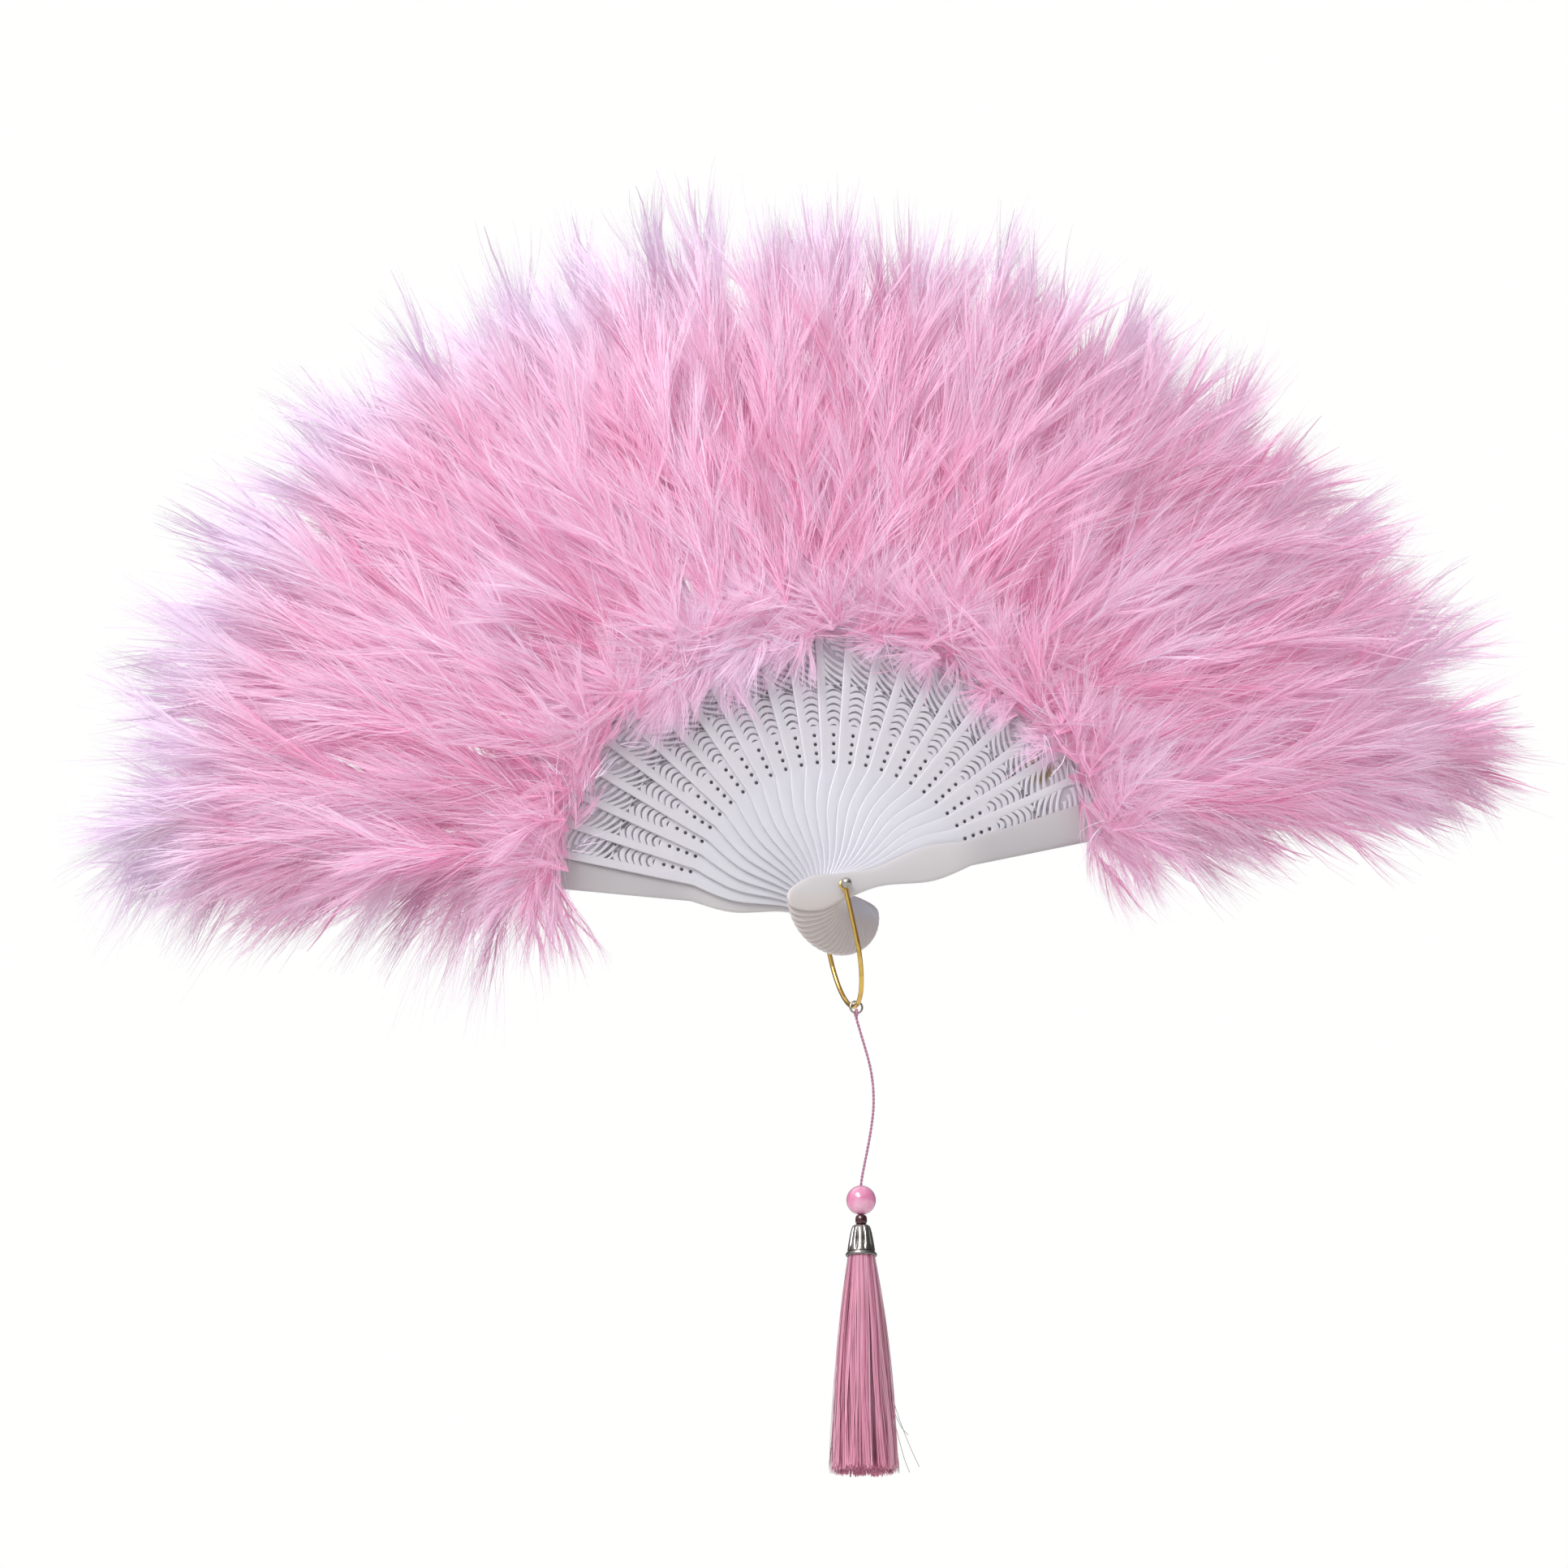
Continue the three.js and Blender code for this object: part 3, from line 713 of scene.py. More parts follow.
class Grower(Tree):
    """A Geometry Nodes tree with named inputs and a fixed seed, which grows meshes."""

    def __init__(self, name: str, seed: int) -> None:
        """Starts the tree with a geometry going in, a seed and a geometry coming out.

        Args:
            name: The tree's name.
            seed: The seed, where a round sets no other.
        """
        super().__init__(bpy.data.node_groups.new(name, "GeometryNodeTree"))
        for way in ("INPUT", "OUTPUT"):
            self.tree.interface.new_socket("Geometry", in_out=way, socket_type="NodeSocketGeometry")
        self.entry = self.node("NodeGroupInput")
        self.keys: dict[str, str] = {}
        self.seed = self.value("seed", seed)

    def value(self, name: str, default: float | int | Triple) -> Wire:
        """Adds a named input, whose kind follows its default value.

        Args:
            name: The input's name.
            default: Its default value.

        Returns:
            The input.
        """
        kind = {int: "Int", float: "Float"}.get(type(default), "Vector")
        item = self.tree.interface.new_socket(name, in_out="INPUT", socket_type=f"NodeSocket{kind}")
        item.default_value = default
        self.keys[name] = item.identifier
        return self.entry.out(name)

    def draw(self, key: Wire, salt: Enum, low: Operand = 0.0, high: Operand = 1.0) -> Wire:
        """Draws a random value for every key.

        Args:
            key: What the value belongs to; equal keys get equal values.
            salt: What the draw is for, whose number keeps it apart from the others.
            low: The least value.
            high: The greatest value.

        Returns:
            The value, which depends on the tree's seed, the key and the salt alone.
        """
        sockets = {2: low, 3: high, "ID": key, "Seed": self.seed + float(salt.value)}
        return self.node("FunctionNodeRandomValue", {"data_type": "FLOAT"}, sockets, output=1)

    def either(self, key: Wire, salt: Enum, most: Operand) -> Wire:
        """Draws a random value to either side of zero."""
        return self.draw(key, salt, -most, most)

    def keep(self, geometry: Wire, **found: Wire) -> tuple[Wire, dict[str, Wire]]:
        """Captures fields on a geometry's points.

        Args:
            geometry: The geometry.
            **found: The fields by name.

        Returns:
            The geometry that carries the fields, and the captured fields by name.
        """
        items = {name: "VECTOR" if wire.is_vector else "FLOAT" for name, wire in found.items()}
        sockets = {"Geometry": geometry, **found}
        carried = self.node("GeometryNodeCaptureAttribute", {"domain": "POINT", "items": items}, sockets)
        return carried, {name: carried.out(name) for name in found}

    def strips(self, points: Wire, steps: int) -> tuple[Wire, Wire, Wire]:
        """Puts a flat strip on every point.

        Args:
            points: The points, with what they carry.
            steps: How many faces a strip has along its length.

        Returns:
            The strips, the share of the length from 0 to 1, and the place across from -0.5 to 0.5.
        """
        sockets = {"Size X": 1.0, "Size Y": 1.0, "Vertices X": steps + 1, "Vertices Y": 2}
        strip = self.node("GeometryNodeMeshGrid", sockets=sockets)
        place = self.node("GeometryNodeInputPosition")
        strip, kept = self.keep(strip, along=place.axis(0) + 0.5, across=place.axis(1))
        copies = self.node("GeometryNodeInstanceOnPoints", sockets={"Points": points, "Instance": strip})
        return self.node("GeometryNodeRealizeInstances", sockets={0: copies}), kept["along"], kept["across"]

    @staticmethod
    def inset(value: Wire, slope: Wire, room: Triple) -> Wire:
        """Fits a share from 0 to 1 into the bake map.

        Args:
            value: The share.
            slope: What changes along or across a strip, so that its faces keep an area in the map.
            room: The map's margin, the share's room and the slope's room.

        Returns:
            The coordinate.
        """
        margin, span, rise = room
        return margin + span * value + rise * slope

    def faced(self, strips: Wire, facing: Wire) -> Wire:
        """Turns strips to face a way and shades them as the soft surface that they lie on.

        Args:
            strips: The strips.
            facing: The way that each of their points faces.

        Returns:
            The strips.
        """
        away = self.node("GeometryNodeInputNormal", output="True Normal").dot(facing)
        turned_over = self.node("GeometryNodeFlipFaces", sockets={"Mesh": strips, "Selection": (-away) > 0.0})
        return self.node(
            "GeometryNodeSetMeshNormal", {"mode": "FREE", "domain": "POINT"},
            {"Mesh": turned_over, "Custom Normal": facing})

    def finish(
        self, strips: Wire, place: Wire, bake: Wire, material: bpy.types.Material, facing: Wire | None = None
    ) -> None:
        """Moves the strips to their places, gives them their bake map and ends the tree.

        Args:
            strips: The strips.
            place: Where each of their points goes.
            bake: Their bake map's coordinates.
            material: Their material.
            facing: The normal of the soft surface that they make up, if they make up one.
        """
        moved = self.node("GeometryNodeSetPosition", sockets={"Geometry": strips, "Position": place})
        smooth = self.node("GeometryNodeSetShadeSmooth", sockets={"Geometry": moved})
        if facing is not None:
            smooth = self.faced(smooth, facing)
        mapped = self.node(
            "GeometryNodeStoreNamedAttribute", {"data_type": "FLOAT2", "domain": "CORNER"},
            {"Geometry": smooth, "Name": BAKE_MAP, "Value": bake})
        solid = self.node("GeometryNodeRealizeInstances", sockets={0: mapped})
        dressed = self.node("GeometryNodeSetMaterial", sockets={"Geometry": solid, "Material": material})
        joined = self.node("GeometryNodeJoinGeometry", sockets={0: dressed})
        self.feed(joined.socket.node.inputs[0], self.entry)
        self.node("NodeGroupOutput", sockets={"Geometry": joined})

    def grow(self, name: str, rounds: Iterable[dict[str, object]]) -> bpy.types.Mesh:
        """Runs the tree once for every set of input values and joins what grows.

        Args:
            name: The mesh's name.
            rounds: The input values by name, one set for each run.

        Returns:
            The plain mesh.
        """
        holder = bpy.data.objects.new(name, bpy.data.meshes.new(name))
        bpy.context.scene.collection.objects.link(holder)
        for values in rounds:
            modifier = holder.modifiers.new(self.tree.name, "NODES")
            modifier.node_group = self.tree
            for key, value in values.items():
                modifier[self.keys[key]] = value
        return as_mesh(holder, name)


def as_mesh(holder: bpy.types.Object, name: str) -> bpy.types.Mesh:
    """Turns an object with its modifiers into a plain mesh and removes the object.

    Args:
        holder: The object.
        name: The mesh's name.

    Returns:
        The mesh.
    """
    graph = bpy.context.evaluated_depsgraph_get()
    mesh = bpy.data.meshes.new_from_object(
        holder.evaluated_get(graph), preserve_all_data_layers=True, depsgraph=graph)
    mesh.name = name
    bpy.data.objects.remove(holder)
    return mesh


def fit(
    mesh: bpy.types.Mesh, name: str, body: str, slot: str, nodes: Sequence[str], *finishes: Finish
) -> bpy.types.Object:
    """Adds a finished mesh to the fan as a piece.

    Args:
        mesh: The mesh, in its place.
        name: The piece's name.
        body: The body that it rides on.
        slot: The record's material slot; not used.
        nodes: The frame's nodes that it stands for.
        *finishes: Its finishes, where the mesh has none yet.

    Returns:
        The piece.
    """
    for finish in finishes:
        mesh.materials.append(finish.material())
    piece = bpy.data.objects.new(name, mesh)
    bpy.context.scene.collection.objects.link(piece)
    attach(piece, body)
    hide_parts(*nodes)
    LOG.info("%s rides %s with %d faces", name, body, len(mesh.polygons))
    return piece


def skinned(name: str, rings: Sequence[Sequence[Triple]], closed: bool = False) -> bpy.types.Mesh:
    """Skins rings of equally many points.

    Args:
        name: The mesh's name.
        rings: The rings, in order.
        closed: Whether the last ring joins the first; otherwise both ends get a face.

    Returns:
        The mesh, smooth and with its faces outwards.
    """
    count = len(rings[0])
    total = len(rings)
    faces = []
    for ring in range(total if closed else total - 1):
        start, after = ring * count, (ring + 1) % total * count
        for i in range(count):
            j = (i + 1) % count
            faces.append((start + i, start + j, after + j, after + i))
    if not closed:
        faces.append(tuple(range(count)))
        faces.append(tuple(range((total - 1) * count, total * count)))
    mesh = bpy.data.meshes.new(name)
    mesh.from_pydata([point for ring in rings for point in ring], [], faces)
    return faced_out(mesh)


def joined(meshes: Sequence[bpy.types.Mesh]) -> bpy.types.Mesh:
    """Joins meshes into the first of them.

    Args:
        meshes: The meshes.

    Returns:
        The first mesh, which now holds all.
    """
    work = bmesh.new()
    for mesh in meshes:
        work.from_mesh(mesh)
    work.to_mesh(meshes[0])
    work.free()
    return meshes[0]


def faced_out(mesh: bpy.types.Mesh) -> bpy.types.Mesh:
    """Merges a mesh's doubles, points its faces outwards and shades it smooth with sharp creases.

    Args:
        mesh: The mesh.

    Returns:
        The same mesh.
    """
    work = bmesh.new()
    work.from_mesh(mesh)
    bmesh.ops.remove_doubles(work, verts=work.verts, dist=MERGE_DISTANCE)
    bmesh.ops.recalc_face_normals(work, faces=work.faces)
    work.to_mesh(mesh)
    work.free()
    mesh.shade_smooth()
    mesh.set_sharp_from_angle(angle=CREASE)
    return mesh


def turned(
    name: str, profile: Sequence[Pair], sides: int, ripple: Callable[[float, float], float] | None = None
) -> bpy.types.Mesh:
    """Turns a closed profile about Z.

    Args:
        name: The mesh's name.
        profile: Radii and heights, in order round the section.
        sides: How many sides the turned shape has.
        ripple: A factor on the radius at an angle and a height.

    Returns:
        The mesh.
    """
    rings = []
    for turn in circle(sides):
        ring = []
        for radius, height in profile:
            far = radius * (ripple(turn, height) if ripple else 1.0)
            ring.append((far * math.cos(turn), far * math.sin(turn), height))
        rings.append(ring)
    return skinned(name, rings, closed=True)


def tubes(
    name: str, lines: Sequence[Sequence[Triple]], radius: float, cyclic: bool = False, sides: int = 2
) -> bpy.types.Mesh:
    """Sweeps round wires along lines of points.

    Args:
        name: The mesh's name.
        lines: The lines.
        radius: The wire's radius.
        cyclic: Whether each line closes on itself.
        sides: Resolution of the round section; the wire has 4 + 2 x sides faces round it.

    Returns:
        The mesh.
    """
    curve = bpy.data.curves.new(name, "CURVE")
    curve.dimensions = "3D"
    curve.bevel_depth = radius
    curve.bevel_resolution = sides
    curve.use_fill_caps = True
    for points in lines:
        strand = curve.splines.new("POLY")
        strand.points.add(len(points) - 1)
        strand.use_cyclic_u = cyclic
        strand.use_smooth = True
        for knot, point in zip(strand.points, points):
            knot.co = (*point, 1.0)
    holder = bpy.data.objects.new(name, curve)
    bpy.context.scene.collection.objects.link(holder)
    return faced_out(as_mesh(holder, name))


def spline(marks: Sequence[Sequence[float]], steps: int) -> list[tuple[float, ...]]:
    """Points on a smooth curve through marks.

    Args:
        marks: The points that the curve passes through.
        steps: How many steps lie between two marks.

    Returns:
        The curve's points, from the first mark to the last.
    """
    found = []
    last = len(marks) - 1
    for i in range(last):
        before, here, ahead, after = (Vector(marks[min(max(i + k, 0), last)]) for k in (-1, 0, 1, 2))
        leave, arrive = (ahead - before) / 2, (after - here) / 2
        for step in range(steps):
            t = step / steps
            cube = (2 * here - 2 * ahead + leave + arrive) * t ** 3
            square = (3 * ahead - 3 * here - 2 * leave - arrive) * t ** 2
            found.append(tuple(cube + square + leave * t + here))
    found.append(tuple(marks[-1]))
    return found


class Place(Enum):
    """Where a stick stands in the stack."""

    FRONT_GUARD = "front_guard"
    INNER = "stick"
    REAR_GUARD = "rear_guard"


@dataclass(frozen=True)
class Stack:
    """The spread and the layers of the open fan."""

    inner_sticks: int = 23
    pitch_deg: float = 6.55
    front_deg: float = 17.6
    stick_thickness: float = 1.0 * MM
    guard_thickness: float = 2.0 * MM
    fit_gap: float = 0.3 * MM

    @property
    def rear(self) -> int:
        """The rear guard's layer."""
        return self.inner_sticks + 1

    @property
    def layer_pitch(self) -> float:
        """The depth from one inner stick to the next."""
        return self.stick_thickness + self.fit_gap

    def place(self, layer: int) -> Place:
        """What kind of stick a layer holds."""
        return {0: Place.FRONT_GUARD, self.rear: Place.REAR_GUARD}.get(layer, Place.INNER)

    def body(self, layer: int) -> str:
        """The name of a layer's body, which is also its stick's node."""
        place = self.place(layer)
        return f"stick_{layer:02d}" if place is Place.INNER else place.value

    def depth(self, layer: float) -> float:
        """The depth of a layer's middle plane.

        Args:
            layer: The layer, from the front guard's 0.

        Returns:
            The depth.
        """
        shift = (self.guard_thickness - self.stick_thickness) / 2
        to_guard = {0: -shift, self.rear: shift}.get(layer, 0.0)
        return (layer - self.rear / 2) * self.layer_pitch + to_guard

    def angle(self, layer: float) -> float:
        """A layer's angle from +X towards +Z, in radians."""
        return math.radians(self.front_deg + layer * self.pitch_deg)

    def frame(self, layer: int) -> Matrix:
        """The matrix from a stick's own axes to the fan."""
        return Matrix.Translation((0, self.depth(layer), 0)) @ Matrix.Rotation(-self.angle(layer), 4, "Y")


STACK = Stack()


@dataclass(frozen=True)
class Fretwork:
    """The pierced field of an inner stick, in millimetres along the stick and across it."""

    field_mm: tuple[Pair, ...] = (
        (60.6, 1.6), (63.0, 2.3), (76.0, 3.0), (90.0, 4.0), (95.0, 3.2), (96.4, 1.6))
    dots: int = 4
    dot_first_mm: float = 47.6
    dot_pitch_mm: float = 3.2
    dot_radius_mm: float = 0.62
    rib_half_mm: float = 0.5
    rib_edge_mm: float = 0.2
    overlap_mm: float = 0.35
    arches: int = 6
    arch_first_mm: float = 60.6
    arch_pitch_mm: float = 2.5
    arch_widths_mm: Pair = (1.75, 2.4)
    arch_bow_mm: float = 1.5
    spur_mm: float = 75.9
    spur_widths_mm: Pair = (0.9, 1.3)
    spur_rise_mm: float = 0.9
    spur_bow_mm: float = -0.3
    spur_reach: Pair = (0.1, 1.0)
    slants: int = 4
    slant_first_mm: float = 77.0
    slant_pitch_mm: float = 2.5
    slant_rise_mm: float = 2.4
    slant_widths_mm: Pair = (1.2, 2.2)
    slant_bow_mm: float = -0.7
    leaf_marks: tuple[Pair, ...] = ((85.4, -0.1), (87.7, 0.3), (90.0, 0.7), (92.3, 1.0), (94.6, 1.0))
    leaf_rise_mm: float = 0.9
    leaf_widths_mm: Pair = (1.2, 1.7)
    leaf_bow_mm: float = 0.5
    ground_half_mm: float = 0.1
    dot_ground_mm: float = 1.2
    points: int = 11

    def half(self, along: float) -> float:
        """Half the field's width at a distance from the pivot.

        Args:
            along: The distance in millimetres.

        Returns:
            Half the width in millimetres.
        """
        for (low, narrow), (high, wide) in zip(self.field_mm, self.field_mm[1:]):
            if along <= high:
                return narrow + (wide - narrow) * max(0.0, (along - low) / (high - low))
        return self.field_mm[-1][1]

    def opening(self) -> list[Pair]:
        """The outline of the whole field."""
        return list(self.field_mm) + [(along, -half) for along, half in self.field_mm[::-1]]

    def rib(
        self, along: float, widths: Pair, rise: float, bow: float, reach: Pair = (-1.0, 1.0)
    ) -> list[Pair]:
        """A curved rib across the field.

        Args:
            along: Its middle's distance from the pivot.
            widths: Its width in the middle and at its ends, where it closes the slits beside it.
            rise: How far its +Z end lies outwards.
            bow: How far its middle bulges outwards.
            reach: Where it starts and ends across the field, as shares of the half width.

        Returns:
            Its outline.
        """
        half = self.half(along) + self.overlap_mm
        outer, inner = [], []
        for i in range(self.points):
            t = 2 * i / (self.points - 1) - 1
            across = half * (reach[0] + (reach[1] - reach[0]) * (t + 1) / 2)
            middle = along + rise * t + bow * (1 - t * t)
            wide = widths[0] + (widths[1] - widths[0]) * t * t
            outer.append((middle + wide / 2, across))
            inner.append((middle - wide / 2, across))
        return outer + inner[::-1]

    def ribs(self) -> list[list[Pair]]:
        """All ribs, from the inner end outwards: arches, a short spur, slanting ribs and leaves.

        Returns:
            Their outlines.
        """
        made = []
        for i in range(self.arches):
            along = self.arch_first_mm + i * self.arch_pitch_mm
            made.append(self.rib(along, self.arch_widths_mm, 0.0, self.arch_bow_mm))
        made.append(self.rib(
            self.spur_mm, self.spur_widths_mm, self.spur_rise_mm, self.spur_bow_mm, self.spur_reach))
        for i in range(self.slants):
            along = self.slant_first_mm + i * self.slant_pitch_mm
            made.append(self.rib(along, self.slant_widths_mm, self.slant_rise_mm, self.slant_bow_mm))
        for along, end in self.leaf_marks:
            made.append(self.rib(
                along, self.leaf_widths_mm, self.leaf_rise_mm, self.leaf_bow_mm, (-1.0, end)))
        return made

    def dot_holes(self) -> list[list[Pair]]:
        """The round holes on the stick's middle line."""
        return [disc(self.dot_first_mm + i * self.dot_pitch_mm, self.dot_radius_mm) for i in range(self.dots)]

    def grounds(self) -> list[bpy.types.Mesh]:
        """The thin grounds behind the ribs and behind the dots, half-way through the stick: sheets of painted
        shade in the openings.

        Returns:
            The meshes.
        """
        first = self.dot_first_mm - self.dot_pitch_mm / 2
        last = self.dot_first_mm + (self.dots - 0.5) * self.dot_pitch_mm
        dot_field = ((first, self.dot_ground_mm), (last, self.dot_ground_mm))
        made = []
        for number, stations in enumerate((self.field_mm, dot_field), 1):
            rings = []
            for along, half in stations:
                wide = half + self.overlap_mm
                rings.append([(along * MM, y * self.ground_half_mm * MM, z * wide * MM) for y, z in CORNERS])
            mesh = skinned(f"ground_{number}", rings)
            for face in mesh.polygons:
                face.material_index = number
            made.append(mesh)
        return made


def disc(along: float, radius: float, points: int = 18) -> list[Pair]:
    """The outline of a round hole on a stick's middle line, in millimetres."""
    return [(along + radius * math.cos(t), radius * math.sin(t)) for t in circle(points)]


def plate(
    name: str, outlines: Sequence[Sequence[Pair]], half: float, edge: float, rounds: int = 3
) -> bpy.types.Mesh:
    """Cuts a plate with rounded edges, in a stick's own axes.

    Args:
        name: The mesh's name.
        outlines: Closed outlines in millimetres; one inside another is a hole.
        half: Half the plate's thickness in millimetres.
        edge: The edges' rounding in millimetres.
        rounds: Resolution of the rounding.

    Returns:
        The mesh, in metres.
    """
    curve = bpy.data.curves.new(name, "CURVE")
    curve.dimensions = "2D"
    curve.fill_mode = "BOTH"
    curve.extrude = half - edge
    curve.bevel_depth = edge
    curve.bevel_resolution = rounds
    curve.offset = -edge
    for points in outlines:
        loop = curve.splines.new("POLY")
        loop.points.add(len(points) - 1)
        loop.use_cyclic_u = True
        for knot, (along, across) in zip(loop.points, points):
            knot.co = (along, across, 0.0, 1.0)
    holder = bpy.data.objects.new(name, curve)
    bpy.context.scene.collection.objects.link(holder)
    mesh = as_mesh(holder, name)
    mesh.transform(Matrix.Rotation(math.pi / 2, 4, "X") @ Matrix.Scale(MM, 4))
    return faced_out(mesh)


@dataclass
class Sticks:
    """All sticks: crowned guards outside and pierced blades between them."""

    marks_mm: tuple[Pair, ...] = (
        (-20.5, 0.0), (-20.35, 1.3), (-19.3, 2.9), (-16.5, 4.5), (-9.5, 6.1), (0.0, 4.6), (13.0, 3.4),
        (31.0, 6.2), (46.0, 4.4))
    blade_mm: tuple[Pair, ...] = ((93.0, 6.9), (98.0, 2.2), (190.0, 1.4))
    edge_mm: float = 0.42
    blade_half_mm: float = 0.58
    bore_mm: float = 1.1
    edge_steps: int = 9
    guard_sides: int = 24
    guard_least_mm: float = 0.05
    guard_thin: float = 0.35
    guard_full_mm: float = 4.0
    guard_crown: float = 0.75
    fretwork: Fretwork = field(default_factory=Fretwork)

    def edge(self) -> list[Pair]:
        """Distances from the pivot and half widths, from the head's tip to the slip's tip."""
        return spline(self.marks_mm, self.edge_steps) + list(self.blade_mm)

    def blade(self) -> bpy.types.Mesh:
        """A pierced inner stick in its own axes, with rounded edges.

        Returns:
            The mesh.
        """
        edge = self.edge()
        outline = edge + [(along, -half) for along, half in edge[:0:-1]]
        fretwork = self.fretwork
        outlines = [outline, disc(0.0, self.bore_mm), fretwork.opening(), *fretwork.dot_holes()]
        body = plate("blade", outlines, self.blade_half_mm, self.edge_mm)
        ribs = plate("ribs", fretwork.ribs(), fretwork.rib_half_mm, fretwork.rib_edge_mm)
        return joined([body, ribs, *fretwork.grounds()])

    def guard(self) -> bpy.types.Mesh:
        """A guard in its own axes, with a crowned face and thin edges.

        Returns:
            The mesh.
        """
        crown = STACK.guard_thickness / 2
        rings = []
        for along, half in self.edge():
            wide = max(half, self.guard_least_mm) * MM
            high = crown * min(1.0, self.guard_thin + half / self.guard_full_mm)
            ring = []
            for turn in circle(self.guard_sides):
                rise = math.copysign(abs(math.sin(turn)) ** self.guard_crown, math.sin(turn))
                ring.append((along * MM, high * rise, wide * math.cos(turn)))
            rings.append(ring)
        return skinned("guard", rings)

    def build(self) -> None:
        """Makes every stick and fits it to its body."""
        blade, guard = self.blade(), self.guard()
        for layer in range(STACK.rear + 1):
            inner = STACK.place(layer) is Place.INNER
            mesh = (blade if inner else guard).copy()
            mesh.transform(STACK.frame(layer))
            body = STACK.body(layer)
            finishes = [PLASTIC, SHADE_GROUND, DOT_SHADOW] if inner else [SHADED_GUARD_PLASTIC]
            fit(mesh, f"{body}_blade", body, "stick_plastic", [body], *finishes)


@dataclass(frozen=True)
class PlumeKind:
    """One kind of plume in a tuft, and the defaults of the growing tree's inputs.

    A plume's shaft curls to either side, settles onto the tuft and droops. Its barbs gather in clumps, puff
    up, sweep aside and hook back along the shaft. body is the share of wide barbs underneath. rounding and
    underside turn the shading outwards and down. tone, fade and swing say how pale the barbs are at the
    root, how much paler they get towards the tip, and how much plumes differ.
    """

    plumes: int = 12
    barbs: int = 176
    root_low: float = 148 * MM
    root_high: float = 184 * MM
    root_half: float = 6 * MM
    depth_low: float = 0.5 * MM
    depth_high: float = 6 * MM
    spread: float = math.radians(7.5)
    lift_low: float = math.radians(-3)
    lift_high: float = math.radians(7)
    roll: float = math.radians(35)
    length_low: float = 42 * MM
    length_high: float = 62 * MM
    curl: float = 0.2
    settle: float = 0.06
    droop: float = 0.05
    first: float = 0.02
    clumps: float = 13.0
    clump: float = 0.34
    barb: float = 38 * MM
    angle_root: float = math.radians(37)
    angle_tip: float = math.radians(16)
    puff: float = 0.3
    sweep: float = 0.27
    hook: float = 0.45
    width: float = 0.26 * MM
    body: float = 0.05
    rounding: float = 0.6
    underside: float = 0.0
    fade: float = 0.24
    tone: float = 0.20
    swing: float = 0.10


@dataclass(frozen=True)
class BarbHabit:
    """How barbs differ within every kind of plume: bunch by bunch, each on its own, loose or underneath."""

    bunch_angle: Pair = (0.1, 1.15)
    own_angle: float = 0.09
    loose_above: float = 0.95
    bunch_rise: Pair = (-0.4, 1.0)
    own_rise: float = 0.3
    loose_rise: float = 0.7
    under_drop: float = 1.0
    swell_start: float = 0.12
    swell_span: float = 0.76
    least_reach: float = 0.58
    swell_reach: float = 0.42
    bunch_reach: Pair = (0.8, 1.12)
    own_reach: Pair = (0.72, 1.15)
    stray_above: float = 0.985
    stray_reach: float = 0.35
    sweep_across: float = 1.0
    sweep_rise: Pair = (-0.6, 0.5)
    sweep_out: float = 2.0
    sweep_back: float = 1.3
    wave: float = 0.05
    loose_wave: float = 3.0
    turned: float = 0.7
    own_width: Pair = (0.65, 1.25)
    under_width: float = 3.0
    tip_tone: float = 0.16
    bunch_tone: float = 0.08
    loose_tone: float = 0.5
    under_tone: float = 0.12
    bunch_tilt: float = 0.3
    own_tilt: float = 0.3
    bunch_rounding: float = 0.25


class PlumeDraw(Enum):
    """What a random draw of the plumes is for, by its salt."""

    FAN = 1
    LIFT = 2
    ROLL = 3
    CURL = 4
    STATION = 5
    DEPTH = 6
    ASIDE = 7
    LENGTH = 8
    SHADE = 9
    PLACE = 11
    ANGLE = 12
    BUNCH_ANGLE = 13
    BUNCH_RISE = 14
    RISE = 15
    STRAY = 16
    BUNCH_REACH = 17
    REACH = 18
    WAVE_X = 19
    WAVE_Y = 20
    WAVE_Z = 21
    TURNED = 22
    WIDTH = 23
    BUNCH_TONE = 24
    LIGHT = 25
    LOOSE = 26
    UNDER = 27
    SWEEP_ACROSS = 28
    SWEEP_RISE = 29
    BUNCH_TILT = 30
    TILT = 31
    BUNCH_ROUNDING = 32


